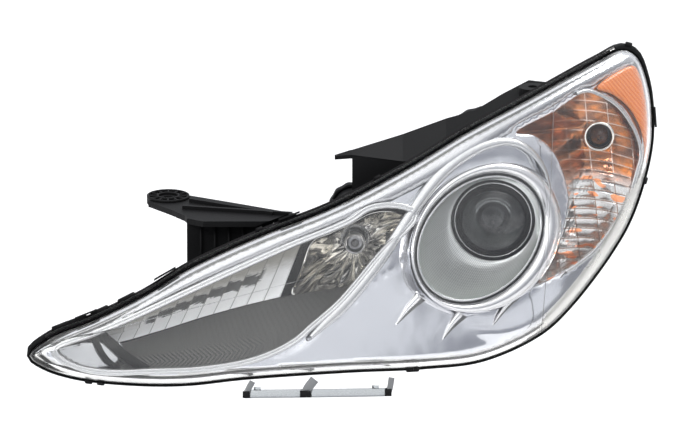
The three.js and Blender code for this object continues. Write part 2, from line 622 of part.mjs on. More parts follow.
node("low_cap", twistCap(LOW, 4.5), blackPlastic, car, [LOW.x, 0, OPTICS_Z]);
node("low_cap_gasket", gasket(LOW), rubber, car, [LOW.x, 0, OPTICS_Z]);
node("high_cap", twistCap(HIGH, 3), blackPlastic, car, [HIGH.x, 0, OPTICS_Z]);
node("high_cap_gasket", gasket(HIGH), rubber, car, [HIGH.x, 0, OPTICS_Z]);
node("turn_socket", bulbSocket(TURN), greyPlastic, car, [TURN.x, 0, TURN.z]);
node("turn_bulb", wedgeBulb(8, TURN.bulbY, TURN.neckNear + 3.6), amber, car, [TURN.x, 0, TURN.z]);
node("marker_socket", bulbSocket(MARKER), greyPlastic, car, [MARKER.x, 0, MARKER.z]);
node("marker_bulb", wedgeBulb(4.5, MARKER.bulbY, MARKER.neckNear + 3.6), glass, car, [MARKER.x, 0, MARKER.z]);
node("vent_cap", ventCap(), rubber, car, [VENT.x, 0, VENT.z]);
node("connector_shell", connectorShell(), blackPlastic, car, [PLUG.x, 0, PLUG.z]);

// ---------------------------------------------------------------- aim mechanism
const aimBallZ = OPTICS_Z - AIM_ARM;

const pivotStud = () => join(ball(BALL_R, AIM_Y), rod(2.4, AIM_Y + 1, AIM_Y + 13.5, 12));

function aimRod() {
  return join(ball(BALL_R, AIM_Y), rod(2.6, AIM_Y + 1, AIM_NECK.far + 8, 12));
}

function aimGearbox() {
  const near = AIM_NECK.far + GAP;
  const body = join(block([-15, near, -18], [15, near + 22, 10]), rod(9, near + 20, near + 26, 20));
  return cut(body, rod(4.2, near - 1, near + 15, 16), rod(3.6, near + 18, near + 27, 16));
}

function aimKnob() {
  const near = AIM_NECK.far + GAP + 26.4;
  const flute = (i) => at(rod(2, near - 1, near + 13, 8), 11 * Math.cos(i * 60 * DEG), 0, 11 * Math.sin(i * 60 * DEG));
  return cut(join(rod(10, near, near + 12, 24), rod(3, near - 7, near + 1, 12)), ...[0, 1, 2, 3, 4, 5].map(flute));
}

const BOWL_FRONT = 18;
const highHole = { x: HIGH.x, y: HIGH.bowlEndY, z: OPTICS_Z, r: 11 };
const LAMP_HOLDER = { ringR: 53, plateNear: 264.6, plateFar: 269.6 };

function aimCarrier() {
  const { ringR, plateNear, plateFar } = LAMP_HOLDER;
  const socketNear = AIM_Y - 8;
  const sockets = [[PIVOT_X.inboard, OPTICS_Z], [PIVOT_X.outboard, OPTICS_Z], [AIM_X, aimBallZ]];
  const armLine = [
    [-52, plateFar], [-66, plateFar], [-91, 200], [-94, 140], [-85, 140], [-82, 196], [-56, plateNear - 6],
    [-50, plateNear - 4],
  ];
  const parts = [
    at(rod(ringR, plateNear, plateFar), LOW.x, 0, OPTICS_Z),
    plate(armLine, OPTICS_Z - 6, OPTICS_Z + 6),
    block([AIM_X - 8, plateNear, aimBallZ - 6], [AIM_X + 8, plateFar, aimBallZ + 16]),
    ...sockets.map(([x, z]) => at(rod(7.6, socketNear, plateFar, 12), x, 0, z)),
  ];
  const rooms = [
    at(rod(43, plateNear - 1, plateFar + 1), LOW.x, 0, OPTICS_Z),
    ...sockets.map(([x, z]) => at(ball(BALL_R + BALL_CLEARANCE, AIM_Y), x, 0, z)),
    ...sockets.map(([x, z]) => at(rod(4, AIM_Y, plateFar + 1, 12), x, 0, z)),
    inCar(skinned(bowlRings(smooth(BOWL_LINE, 24), BOWL_FRONT, highHole, 2.4))),
  ];
  return cut(join(...parts), ...rooms);
}

node("pivot_stud_inboard", pivotStud(), steel, car, [PIVOT_X.inboard, 0, OPTICS_Z]);
node("pivot_stud_outboard", pivotStud(), steel, car, [PIVOT_X.outboard, 0, OPTICS_Z]);
node("aim_rod", aimRod(), steel, car, [AIM_X, 0, aimBallZ]);
node("aim_gearbox", aimGearbox(), greyPlastic, car, [AIM_X, 0, aimBallZ]);
node("aim_knob", aimKnob(), greyPlastic, car, [AIM_X, 0, aimBallZ]);
node("aim_carrier", aimCarrier(), greyPlastic);

// ---------------------------------------------------------------- low beam projector
const lowAxis = [LOW.x, 0, OPTICS_Z];
const { lensY, lensR } = LOW;

const projectorLens = () => turned([
  [0, lensY], [10, lensY + 0.9], [20, lensY + 4.2], [27, lensY + 8.6], [lensR, lensY + 14],
  [lensR, lensY + 19], [0, lensY + 19],
]);

const lensRetainer = () => turned([
  [lensR + GAP, lensY + 10.6], [lensR + 2, lensY + 10.6], [lensR + 2, lensY + 23], [lensR + 5, lensY + 23],
  [lensR + 5, lensY + 26], [lensR - 3, lensY + 26], [lensR - 3, lensY + 19.5], [lensR + GAP, lensY + 19.5],
]);

const HOLDER_FLANGE = { near: 257.4, far: 260.4, r: 44.6 };

const projectorHolder = () => turned([
  [lensR - 3, lensY + 26.4], [lensR + 2, lensY + 26.4], [38, 242], [43, HOLDER_FLANGE.near],
  [HOLDER_FLANGE.r, HOLDER_FLANGE.near], [HOLDER_FLANGE.r, HOLDER_FLANGE.far], [40, HOLDER_FLANGE.far],
  [35, 242], [lensR - 1, lensY + 30],
]);

const projectorBowl = () => turned([
  [40, 260.8], [HOLDER_FLANGE.r, 260.8], [HOLDER_FLANGE.r, 263.8], [42.5, 263.8], [40, 280], [34, 300],
  [26, 318], [17, 332], [12, 332], [24, 316], [31.5, 299], [37.5, 280],
]);

function cutoffShield() {
  const edge = 4; // how far below the axis the cut-off lies
  return common(rod(34, 241, 242.4), block([-40, 238, -40], [40, 246, -edge]));
}

const bulbGlass = (radius, near, far) => turned([
  [0, near], [radius * 0.7, near + 0.8], [radius, near + 4], [radius, far], [0, far],
], 16);

function bulbBase(near, flangeR, neckR, length) {
  const body = turned([
    [0, near], [neckR, near], [neckR, near + 4], [flangeR, near + 4], [flangeR, near + 6.5],
    [neckR + 2, near + 6.5], [neckR + 2, near + 16], [0, near + 16],
  ], 20);
  return join(body, block([-8, near + 14, -neckR], [8, near + length, neckR]));
}

node("projector_lens", projectorLens(), glass, car, lowAxis);
node("lens_retainer", lensRetainer(), satinSilver, car, lowAxis);
node("projector_holder", projectorHolder(), darkChrome, car, lowAxis);
node("projector_bowl", projectorBowl(), aluminium, car, lowAxis);
node("cutoff_shield", cutoffShield(), steel, car, lowAxis);
node("low_bulb", bulbGlass(6, 296, 328.6), glass, car, lowAxis);
node("low_bulb_base", bulbBase(329, 21, 10, 40), greyPlastic, car, lowAxis);

// ---------------------------------------------------------------- high beam
const highAxis = [HIGH.x, 0, OPTICS_Z];

function highBulbShield() {
  const near = HIGH.bulbY - 13;
  const cup = turned([
    [0, near], [7.5, near], [9, near + 2], [9, near + 9], [7.8, near + 9], [7.8, near + 3], [0, near + 2],
  ], 20);
  return join(cup, block([8, near + 3, -1.2], [15, near + 6, 1.2]));
}

node("high_reflector", bowl(smooth(BOWL_LINE, 24), BOWL_FRONT, highHole, 2), mirror, drawing);
node("high_bulb", bulbGlass(5.5, HIGH.bulbY - 6, 161.6), glass, car, highAxis);
node("high_bulb_base", bulbBase(162, 11.5, 7, 30), greyPlastic, car, highAxis);
node("high_bulb_shield", highBulbShield(), satinSilver, car, highAxis);

export default lamp;
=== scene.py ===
"""Looks of the left-hand car headlight assembly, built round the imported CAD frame."""

import math

import bmesh
import bpy
import numpy as np
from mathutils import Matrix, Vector
from mathutils.geometry import delaunay_2d_cdt


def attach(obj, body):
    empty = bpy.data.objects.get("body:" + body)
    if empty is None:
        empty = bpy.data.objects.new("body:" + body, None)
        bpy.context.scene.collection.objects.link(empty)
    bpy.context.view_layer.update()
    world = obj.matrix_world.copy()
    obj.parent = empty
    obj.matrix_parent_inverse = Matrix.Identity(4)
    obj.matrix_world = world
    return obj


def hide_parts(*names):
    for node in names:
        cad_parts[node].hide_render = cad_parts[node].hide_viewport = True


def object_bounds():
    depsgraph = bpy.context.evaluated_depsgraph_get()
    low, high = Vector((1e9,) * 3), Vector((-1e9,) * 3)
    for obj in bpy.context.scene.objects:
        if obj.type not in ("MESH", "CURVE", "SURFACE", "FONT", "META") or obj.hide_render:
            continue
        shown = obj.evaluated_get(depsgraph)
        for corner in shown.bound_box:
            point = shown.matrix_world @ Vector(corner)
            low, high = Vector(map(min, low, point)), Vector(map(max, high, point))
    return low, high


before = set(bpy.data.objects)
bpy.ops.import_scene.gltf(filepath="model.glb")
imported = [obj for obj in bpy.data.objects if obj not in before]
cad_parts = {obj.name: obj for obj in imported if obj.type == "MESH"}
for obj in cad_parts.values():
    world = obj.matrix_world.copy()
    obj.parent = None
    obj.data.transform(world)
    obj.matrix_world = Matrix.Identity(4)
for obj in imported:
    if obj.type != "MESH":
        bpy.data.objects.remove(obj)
cad_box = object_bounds()

# ---------------------------------------------------------------- driving dimensions, in millimetres
TILT = math.radians(16)
LEAN_COS, LEAN_SIN = math.cos(TILT), math.sin(TILT)
DATUM = np.array([281.0, -164.0, 22.0])  # where the drawing frame's origin lies in the row frame
INBOARD_X, LENS_SPAN = -396.0, 538.0
CENTRE = (-60.0, -20.0)
OPTICS_Z = -57.0
HOUSING_SHALLOW, HOUSING_BULGE = 45, 120  # its depth at the ends, and how much more behind the projector
LAMP = "lamp_body"
AIM = "aim_body"
FLUTE_COUNT = 12
HIGH_X = -120  # the high beam's axis
TURN_AT, MARKER_AT, VENT_AT = (94, -12), (112, 16), (-200, -75)  # (x, z) of the smaller axes
LOW_NECK_R, LOW_NECK_END = 49, 395
HIGH_NECK_R, HIGH_NECK_END = 19, 254
TRIM_BASE = 12.2  # how far behind the skin the trim's frames are built up from
TURNS = 96  # sides of a fine turned piece
ROOM = np.array([np.array(cad_box[0]) + 1e-5, np.array(cad_box[1]) - 1e-5])  # the box every piece keeps to

LENS_LINE = [
    (-396, -111), (-380, -97), (-341, -81), (-300, -61), (-260, -37), (-201, -10), (-140, 14), (-75, 48),
    (-24, 79), (26, 106), (93, 143), (115.5, 153.6), (128, 148.6), (138, 125), (142, 92), (139, 60), (123, 9),
    (104, -24), (66, -72), (41, -94), (-9, -116), (-60, -122), (-125, -124.5), (-214, -130), (-264, -135),
    (-310, -134.5), (-358, -129), (-385, -120),
]
HIGH_WINDOW = [
    (-373, -107.5), (-341, -94.5), (-310, -81.5), (-258, -57.5), (-214, -37.5), (-175, -20), (-124, 1),
    (-107, 12), (-90, 14.5), (-75, 12), (-70, 8), (-100, -24), (-134, -64), (-157, -84), (-175, -99),
    (-208, -113.5), (-252, -121), (-291, -122.5), (-329, -123.5), (-352, -120), (-367, -113.5),
]
TURN_WINDOW = [
    (20, 80), (54, 99), (81, 115.5), (94, 112.5), (109, 103.5), (119, 91.5), (126, 79), (130, 61), (126, 46),
    (118, 21.5), (104, -1.5), (89, -21), (78, -30), (64.5, -39), (45, -49), (26, -55.5), (35, -43), (47, -29),
    (58.5, -14), (65, 6), (66, 21.5), (62.5, 41), (52.5, 64), (35, 78),
]
MARKER_LINE = [
    (92, 119.5), (125, 140), (131, 132), (135.6, 113), (138, 92), (137.4, 72), (134.5, 54), (134, 72),
    (128.5, 90), (119, 104), (105, 114.5),
]
MARKER_OPENING = [(102, 121), (122, 134), (127, 128), (130.5, 112), (130.5, 99), (123, 106), (112, 116)]
STRIP_LINE = [
    (-330, -85), (-250, -48.5), (-150, -6.5), (-75, 27), (20, 82), (85, 119), (128, 143), (127, 148),
    (117, 153), (90, 138.5), (26, 101.5), (-24, 74.5), (-75, 43.5), (-140, 9.5), (-201, -14.5), (-260, -41.5),
]
BOWL_LINE = [
    (-156.5, -15), (-142, -8), (-124, 0), (-106, 9.5), (-90, 11), (-77, 7), (-73, -1), (-84, -16), (-98, -32),
    (-116, -50), (-138, -57), (-158, -59), (-173.5, -60), (-165, -38),
]
FLUTES_TOP = [(-346, -95), (-308, -78), (-258, -54), (-214, -35), (-190, -25), (-165, -13)]
FLUTES_FOOT = [(-350, -103), (-322, -101), (-291, -92), (-252, -79.5), (-214, -69), (-184, -62)]
# The middle line of the blade that sweeps from the foot of the high-beam window over the projector.
SWOOSH = [
    (-158, -96), (-128, -67), (-103, -37), (-87, -14), (-72, 9), (-58, 29), (-42, 47), (-22, 62), (-2, 70.5),
    (17, 72), (33, 64), (45, 48), (50, 28), (49, 8),
]
SHROUD = dict(x=-12, h=-11.8, along=60, across=45.5, lean=45)
RING = dict(x=-6, h=-11, along=72, across=59, lean=45)


# ---------------------------------------------------------------- the lamp's own surface
def midline(x):
    return -110 + 0.26 * (x - INBOARD_X)


def skin(x, h):
    t = (x - INBOARD_X) / LENS_SPAN
    return 150 * t + 160 * t**3 + 0.25 * h + 0.0007 * (h - midline(x)) ** 2


def housing_depth(x):
    off = x + 5
    return HOUSING_SHALLOW + HOUSING_BULGE * np.exp(-((off / np.where(off < 0, 105.0, 60.0)) ** 2))


def place(x, s, h):
    """Drawing coordinates (across, behind, up) to the row frame, in metres."""
    x, s, h = np.broadcast_arrays(np.asarray(x, float), np.asarray(s, float), np.asarray(h, float))
    y = h * LEAN_SIN + s * LEAN_COS
    z = h * LEAN_COS - s * LEAN_SIN
    return (np.stack([x, y, z], -1) + DATUM) / 1000


def on_skin(x, h, depth):
    """The point (x, h) of the drawing, this far behind the skin, in the row frame."""
    return place(x, skin(x, h) + depth, h)


def car(x, y, z):
    """Car axes about the drawing origin to the row frame, in metres."""
    x, y, z = np.broadcast_arrays(np.asarray(x, float), np.asarray(y, float), np.asarray(z, float))
    return (np.stack([x, y, z], -1) + DATUM) / 1000


def to_drawing(y, z):
    """A point of the car's YZ plane as (h, s)."""
    return y * LEAN_SIN + z * LEAN_COS, y * LEAN_COS - z * LEAN_SIN


# ---------------------------------------------------------------- outlines
def smooth(points, count, closed=True):
    """A centripetal Catmull-Rom curve through the points, spaced evenly."""
    p = np.array(points, float)
    if closed:
        p = np.vstack([p[-1], p, p[0], p[1]])
    else:
        p = np.vstack([2 * p[0] - p[1], p, 2 * p[-1] - p[-2]])
    line = []
    for i in range(1, len(p) - 2):
        a, b, c, d = p[i - 1 : i + 3]
        g0, g1, g2 = (np.linalg.norm(v) ** 0.5 for v in (b - a, c - b, d - c))
        t1 = ((b - a) / g0 - (c - a) / (g0 + g1) + (c - b) / g1) * g1
        t2 = ((c - b) / g1 - (d - b) / (g1 + g2) + (d - c) / g2) * g1
        t = np.linspace(0, 1, 30, endpoint=False)[:, None]
        line.append(b + t1 * t + (3 * (c - b) - 2 * t1 - t2) * t**2 + (2 * (b - c) + t1 + t2) * t**3)
    line.append(p[-2][None])
    return spaced(np.vstack(line), count, closed)


def spaced(line, count, closed=False):
    run = np.concatenate([[0], np.cumsum(np.linalg.norm(np.diff(line, axis=0), axis=1))])
    at = np.linspace(0, run[-1], count, endpoint=not closed)
    return np.stack([np.interp(at, run, line[:, k]) for k in range(line.shape[1])], -1)


def ellipse(x, h, along, across, lean, count=120, grow=0):
    a = np.linspace(0, 2 * np.pi, count, endpoint=False)
    u, v = (along + grow) * np.cos(a), (across + grow) * np.sin(a)
    c, s = math.cos(math.radians(lean)), math.sin(math.radians(lean))
    return np.stack([x + u * c - v * s, h + u * s + v * c], -1)


def winding(p):
    """1 for an outline that runs anticlockwise, -1 for one that runs clockwise."""
    return np.sign(np.sum(p[:, 0] * np.roll(p[:, 1], -1) - np.roll(p[:, 0], -1) * p[:, 1]))


def normals(p, closed=True):
    """Unit normals of an outline, pointing out of it."""
    if closed:
        d = np.roll(p, -1, 0) - np.roll(p, 1, 0)
        turn = winding(p)
    else:
        d = np.gradient(p, axis=0)
        turn = 1
    d /= np.linalg.norm(d, axis=1)[:, None]
    return np.stack([d[:, 1], -d[:, 0]], -1) * turn


def inward(p, by):
    n = normals(p)
    by = by(n[:, 1]) if callable(by) else by
    return p - n * np.asarray(by)[..., None] if np.ndim(by) else p - n * by


def inside(p, outline):
    """Which of the points lie inside the outline."""
    x, y = p[:, 0][:, None], p[:, 1][:, None]
    a, b = outline, np.roll(outline, -1, 0)
    over = (a[:, 1] > y) != (b[:, 1] > y)
    with np.errstate(divide="ignore", invalid="ignore"):
        cross = (b[:, 0] - a[:, 0]) * (y - a[:, 1]) / (b[:, 1] - a[:, 1]) + a[:, 0]
    return (np.sum(over & (x < cross), axis=1) % 2) == 1


def distance(p, line, closed=True):
    """The distance of each point from a line, and how far along the line it is nearest."""
    a = line if closed else line[:-1]
    b = np.roll(line, -1, 0) if closed else line[1:]
    d = b - a
    t = np.clip(np.sum((p[:, None] - a) * d, -1) / np.maximum(np.sum(d * d, -1), 1e-9), 0, 1)
    gap = np.linalg.norm(p[:, None] - (a + t[..., None] * d), axis=-1)
    near = np.argmin(gap, axis=1)
    run = np.concatenate([[0], np.cumsum(np.linalg.norm(d, axis=1))])
    rows = np.arange(len(p))
    along = run[near] + t[rows, near] * np.linalg.norm(d[near], axis=1)
    return gap[rows, near], along


# ---------------------------------------------------------------- meshes
def shade(obj, angle=34):
    obj.data.shade_smooth()
    bpy.context.view_layer.objects.active = obj
    obj.select_set(True)
    bpy.ops.object.shade_auto_smooth(angle=math.radians(angle))
    obj.select_set(False)
    for m in list(obj.modifiers):
        if m.type == "NODES":
            bpy.ops.object.modifier_apply(modifier=m.name)


def piece(name, verts, faces, material, body=LAMP, slot=None, nodes=(), uv=None, angle=34):
    mesh = bpy.data.meshes.new(name)
    verts = np.clip(np.asarray(verts).reshape(-1, 3), ROOM[0], ROOM[1])
    mesh.from_pydata([tuple(v) for v in verts], [], [tuple(f) for f in faces])
    if uv is not None:
        layer = mesh.uv_layers.new(name="UVMap")
        flat = np.asarray(uv, float).reshape(-1, 2)
        index = np.empty(len(mesh.loops), int)
        mesh.loops.foreach_get("vertex_index", index)
        layer.data.foreach_set("uv", flat[index].ravel())
    mesh.materials.append(material)
    mesh.validate()
    obj = bpy.data.objects.new(name, mesh)
    bpy.context.scene.collection.objects.link(obj)
    face_outwards(mesh)
    shade(obj, angle)
    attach(obj, body)
    if nodes:
        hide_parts(*nodes)
    return obj


def face_outwards(mesh):
    """Turns every face of a mesh outwards."""
    work = bmesh.new()
    work.from_mesh(mesh)
    bmesh.ops.recalc_face_normals(work, faces=work.faces)
    work.to_mesh(mesh)
    work.free()


def grid_faces(rows, cols, wrap_rows=False, wrap_cols=False, start=0):
    faces = []
    for r in range(rows if wrap_rows else rows - 1):
        for c in range(cols if wrap_cols else cols - 1):
            a, b = r * cols + c, r * cols + (c + 1) % cols
            d, e = ((r + 1) % rows) * cols + c, ((r + 1) % rows) * cols + (c + 1) % cols
            faces.append((start + a, start + b, start + e, start + d))
    return faces


def loft(name, rings, material, closed=False, **more):
    """Skins rings of row-frame points; an open loft is capped with fans."""
    v = np.array(rings)
    rows, cols = v.shape[:2]
    faces = grid_faces(rows, cols, wrap_rows=closed, wrap_cols=True)
    verts = v.reshape(-1, 3)
    if not closed:
        verts = np.vstack([verts, v[0].mean(0), v[-1].mean(0)])
        for c in range(cols):
            d = (c + 1) % cols
            faces.append((rows * cols, d, c))
            faces.append((rows * cols + 1, (rows - 1) * cols + c, (rows - 1) * cols + d))
    return piece(name, verts, faces, material, **more)


def slab(name, front, back, material, uv, **more):
    """A closed sheet between a grid of front points and the same grid of back points."""
    rows, cols = np.shape(front)[:2]
    n = rows * cols
    near = grid_faces(rows, cols)
    far = [tuple(k + n for k in f[::-1]) for f in near]
    edge = list(range(cols)) + [r * cols + cols - 1 for r in range(1, rows)]
    edge += [(rows - 1) * cols + c for c in range(cols - 2, -1, -1)]
    edge += [r * cols for r in range(rows - 2, 0, -1)]
    sides = [(a, b, b + n, a + n) for a, b in zip(edge, edge[1:] + edge[:1])]
    verts = np.vstack([np.reshape(front, (-1, 3)), np.reshape(back, (-1, 3))])
    flat = np.reshape(uv, (-1, 2))
    return piece(name, verts, near + far + sides, material, uv=np.vstack([flat, flat]), **more)


def lathe_rings(profile, x, z, sides=TURNS, scallop=None):
    a = np.linspace(0, 2 * np.pi, sides, endpoint=False)
    rings = []
    for r, y in profile:
        rr = r if scallop is None else scallop(r, y, a)
        rings.append(car(x + rr * np.cos(a), y, z + rr * np.sin(a)))
    return rings


def lathe(name, profile, x, z, material, sides=TURNS, scallop=None, **more):
    """A closed turned ring about the car's Y axis; profile is a closed list of (radius, y)."""
    return loft(name, lathe_rings(profile, x, z, sides, scallop), material, closed=True, **more)


def turned(name, profile, x, z, material, sides=TURNS, scallop=None, **more):
    """A turned piece whose profile starts and ends on the axis."""
    return loft(name, lathe_rings(profile, x, z, sides, scallop), material, closed=False, **more)


def rounded(profile, by=0.6, steps=3, closed=False):
    """The profile with each corner rounded by a small arc-like curve."""
    p = np.array(profile, float)
    out = []
    count = len(p)
    for i in range(count):
        if not closed and i in (0, count - 1):
            out.append(p[i])
            continue
        a, b, c = p[i - 1], p[i], p[(i + 1) % count]
        la, lc = np.linalg.norm(a - b), np.linalg.norm(c - b)
        r = min(by, la * 0.45, lc * 0.45)
        s, e = b + (a - b) / max(la, 1e-9) * r, b + (c - b) / max(lc, 1e-9) * r
        for k in range(steps + 1):
            t = k / steps
            out.append((1 - t) ** 2 * s + 2 * t * (1 - t) * b + t**2 * e)
    return np.array(out)


def ribbon(name, line, section, material, closed=True, base=0.0, **more):
    """Sweeps a closed section of (outwards, behind the skin) along an outline."""
    n = normals(line, closed)
    rings = []
    for i, (p, q) in enumerate(zip(line, n)):
        shape = section(i / len(line)) if callable(section) else section
        shape = np.asarray(shape, float)
        x, h = p[0] + q[0] * shape[:, 0], p[1] + q[1] * shape[:, 0]
        rings.append(place(x, skin(x, h) + base + shape[:, 1], h))
    return loft(name, rings, material, closed=closed, **more)


CUBE_FACES = [(0, 1, 3, 2), (4, 6, 7, 5), (0, 4, 5, 1), (2, 3, 7, 6), (0, 2, 6, 4), (1, 5, 7, 3)]


def mesh_of_area(outline, holes, spacing, seams=()):
    """Triangles that fill the outline less its holes, with inner points every spacing."""
    points, edges = [], []
    for loop in [outline, *holes]:
        start = len(points)
        points += [tuple(p) for p in loop]
        edges += [(start + i, start + (i + 1) % len(loop)) for i in range(len(loop))]
    for line in seams:
        start = len(points)
        points += [tuple(p) for p in line]
        edges += [(start + i, start + i + 1) for i in range(len(line) - 1)]
    x0, h0 = outline.min(0)
    x1, h1 = outline.max(0)
    xs = np.arange(x0 + spacing / 2, x1, spacing)
    hs = np.arange(h0 + spacing / 2, h1, spacing * 0.87)
    gx, gh = np.meshgrid(xs, hs)
    gx[1::2] += spacing / 2
    cloud = np.stack([gx.ravel(), gh.ravel()], -1)
    keep = inside(cloud, outline) & (distance(cloud, outline)[0] > spacing * 0.45)
    for hole in holes:
        keep &= ~inside(cloud, hole) & (distance(cloud, hole)[0] > spacing * 0.45)
    for line in seams:
        keep &= distance(cloud, line, False)[0] > spacing * 0.3
    points += [tuple(p) for p in cloud[keep]]
    verts, _, faces, *_ = delaunay_2d_cdt([Vector(p) for p in points], edges, [], 0, 1e-4)
    v = np.array([tuple(q) for q in verts])
    f = np.array([tuple(t) for t in faces])
    middle = v[f].mean(1)
    keep = inside(middle, outline)
    for hole in holes:
        keep &= ~inside(middle, hole)
    return v, f[keep]


def rim_edges(faces):
    """The edges that only one face uses, in that face's direction."""
    seen = {}
    for f in faces:
        for i in range(3):
            a, b = int(f[i]), int(f[(i + 1) % 3])
            if (b, a) in seen:
                del seen[(b, a)]
            else:
                seen[(a, b)] = True
    return list(seen)


def relief_panel(name, outline, holes, depth, material, spacing=5.0, thick=2.0, seams=(), **more):
    """A moulded panel: depth(p) is how far its face lies behind the skin."""
    v, f = mesh_of_area(outline, holes, spacing, seams)
    near = depth(v)
    s = skin(v[:, 0], v[:, 1])
    front = place(v[:, 0], s + near, v[:, 1])
    back = place(v[:, 0], s + near + thick, v[:, 1])
    count = len(v)
    faces = [tuple(t) for t in f] + [tuple(int(k) + count for k in t[::-1]) for t in f]
    for a, b in rim_edges(f):
        faces.append((b, a, a + count, b + count))
    return piece(name, np.vstack([front, back]), faces, material, **more)


# ---------------------------------------------------------------- materials
def nodes_of(name):
    m = bpy.data.materials.new(name)
    m.use_nodes = True
    tree = m.node_tree
    shader = tree.nodes["Principled BSDF"]
    return m, tree, shader


def node(tree, kind, inputs=None, **settings):
    n = tree.nodes.new(kind)
    for k, v in settings.items():
        setattr(n, k, v)
    for k, v in (inputs or {}).items():
        if isinstance(v, bpy.types.NodeSocket):
            tree.links.new(v, n.inputs[k])
        else:
            n.inputs[k].default_value = v
    return n


def maths(tree, operation, a, b=0.0, c=0.0):
    return node(tree, "ShaderNodeMath", {0: a, 1: b, 2: c}, operation=operation).outputs[0]


def split_uv(tree, coord):
    return node(tree, "ShaderNodeSeparateXYZ", {0: coord.outputs["UV"]})


def noise(tree, coord, space, scale, detail):
    vector = coord.outputs[space]
    return node(tree, "ShaderNodeTexNoise", {"Vector": vector, "Scale": scale, "Detail": detail}).outputs[0]


def times(tree, a, b):
    return maths(tree, "MULTIPLY", a, b)


def ramp(tree, value, low, high, at_low=0.0, at_high=1.0):
    """at_low up to the value low, at_high from high on, and straight between them."""
    return node(tree, "ShaderNodeMapRange", {0: value, 1: low, 2: high, 3: at_low, 4: at_high}).outputs[0]


def blend_colour(tree, factor, low, high):
    mix = node(tree, "ShaderNodeMix", data_type="RGBA")
    for i, v in ((0, factor), (6, low), (7, high)):
        if isinstance(v, bpy.types.NodeSocket):
            tree.links.new(v, mix.inputs[i])
        else:
            mix.inputs[i].default_value = v if i == 0 else (*v, 1)
    return mix.outputs[2]


def scaled(colour, by):
    return tuple(min(1.0, c * by) for c in colour)


def surface(name, colour, rough, metal=0.0, vary=0.06, patch=22.0, grain=1400.0, bump=0.05, relief=0.0002,
            rough_vary=0.04, pattern_and_painted_light=None, swell=0.0, **sockets):
    """A shader whose colour and roughness vary softly, with a fine grain.

    pattern adds colour and height, some of it painted reflection and highlight; swell adds a long wave to the
    face, in millimetres.
    """
    m, tree, shader = nodes_of(name)
    coord = node(tree, "ShaderNodeTexCoord")
    soft = noise(tree, coord, "Object", patch, 3.0)
    fine = noise(tree, coord, "Object", grain, 2.0)
    tone = blend_colour(tree, soft, scaled(colour, 1 - vary), scaled(colour, 1 + vary))
    height = fine
    if pattern_and_painted_light:
        tone, height = pattern_and_painted_light(tree, coord, tone, height)
    tree.links.new(tone, shader.inputs["Base Color"])
    wear = ramp(tree, soft, 0.0, 1.0, max(0.0, rough - rough_vary), rough + rough_vary)
    tree.links.new(wear, shader.inputs["Roughness"])
    lift = node(tree, "ShaderNodeBump", {"Strength": bump, "Distance": relief, "Height": height})
    if swell:
        wave = node(tree, "ShaderNodeBump", {"Strength": 0.5, "Distance": swell / 1000, "Height": soft})
        tree.links.new(wave.outputs[0], lift.inputs["Normal"])
    tree.links.new(lift.outputs[0], shader.inputs["Normal"])
    shader.inputs["Metallic"].default_value = metal
    for k, v in sockets.items():
        shader.inputs[k.replace("_", " ")].default_value = v
    return m


def see_through(name, colour, rough, ior=1.5, shadow=(0.95, 0.95, 0.95), pattern_and_painted_light=None, **sockets):
    """Clear plastic or glass that lets shadow rays pass."""
    m = surface(name, colour, rough, vary=0.015, bump=0.0 if pattern_and_painted_light is None else 0.04,
                rough_vary=rough * 0.5,
                pattern_and_painted_light=pattern_and_painted_light, **{"Transmission_Weight": 1.0, "IOR": ior, **sockets})
    tree = m.node_tree
    shader = tree.nodes["Principled BSDF"]
    out = tree.nodes["Material Output"]
    rays = node(tree, "ShaderNodeLightPath")
    clear = node(tree, "ShaderNodeBsdfTransparent", {"Color": (*shadow, 1)})
    mix = node(tree, "ShaderNodeMixShader", {0: rays.outputs["Is Shadow Ray"], 1: shader.outputs[0],
                                             2: clear.outputs[0]})
    tree.links.new(mix.outputs[0], out.inputs["Surface"])
    return m


def shroud_pattern(tree, coord, tone, height):
    """Fine radial lines crossed by a few faint rings."""
    uv = split_uv(tree, coord)
    ray = maths(tree, "SINE", times(tree, uv.outputs[0], 150 * 2 * math.pi))
    ring = maths(tree, "SINE", times(tree, uv.outputs[1], 16 * 2 * math.pi))
    wave = maths(tree, "MULTIPLY_ADD", ray, 0.38, 0.5)
    wave = maths(tree, "MULTIPLY_ADD", ring, 0.12, wave)
    deep = maths(tree, "SUBTRACT", 1.0, uv.outputs[1])
    tint = blend_colour(tree, maths(tree, "POWER", deep, 1.5), tone, (0.46, 0.5, 0.47))
    dark = blend_colour(tree, times(tree, wave, 0.55), tint, (0.13, 0.135, 0.13))
    return dark, times(tree, wave, -1.0)


def shelf_ribs_and_painted_highlights(tree, coord, tone, height):
    """A fine crosshatch at the back and broader chevrons towards the front: ribs in the bump, with painted
    highlights along them in the colour.
    """
    uv = split_uv(tree, coord)
    u, v = uv.outputs[0], uv.outputs[1]
    a = maths(tree, "SINE", maths(tree, "MULTIPLY_ADD", u, 620.0, times(tree, v, 130.0)))
    b = maths(tree, "SINE", maths(tree, "MULTIPLY_ADD", u, 620.0, times(tree, v, -130.0)))
    hatch = maths(tree, "MULTIPLY_ADD", times(tree, a, b), 0.5, 0.5)
    fold = maths(tree, "ABSOLUTE", maths(tree, "SUBTRACT", v, 0.24))
    chevron = maths(tree, "SINE", maths(tree, "MULTIPLY_ADD", u, 420.0, times(tree, fold, 70.0)))
    chevron = maths(tree, "MULTIPLY_ADD", chevron, 0.5, 0.5)
    front = ramp(tree, v, 0.4, 0.46, 1.0, 0.0)
    left = ramp(tree, u, 0.3, 0.7, 1.0, 0.25)
    share = times(tree, front, left)
    mix = node(tree, "ShaderNodeMix", {0: share, 2: hatch, 3: chevron}, data_type="FLOAT").outputs[0]
    # Painted highlights: the colour lightens where the rib pattern rises.
    pale = blend_colour(tree, times(tree, mix, 0.8), (0.01, 0.01, 0.0095), (0.13, 0.13, 0.12))
    return pale, mix


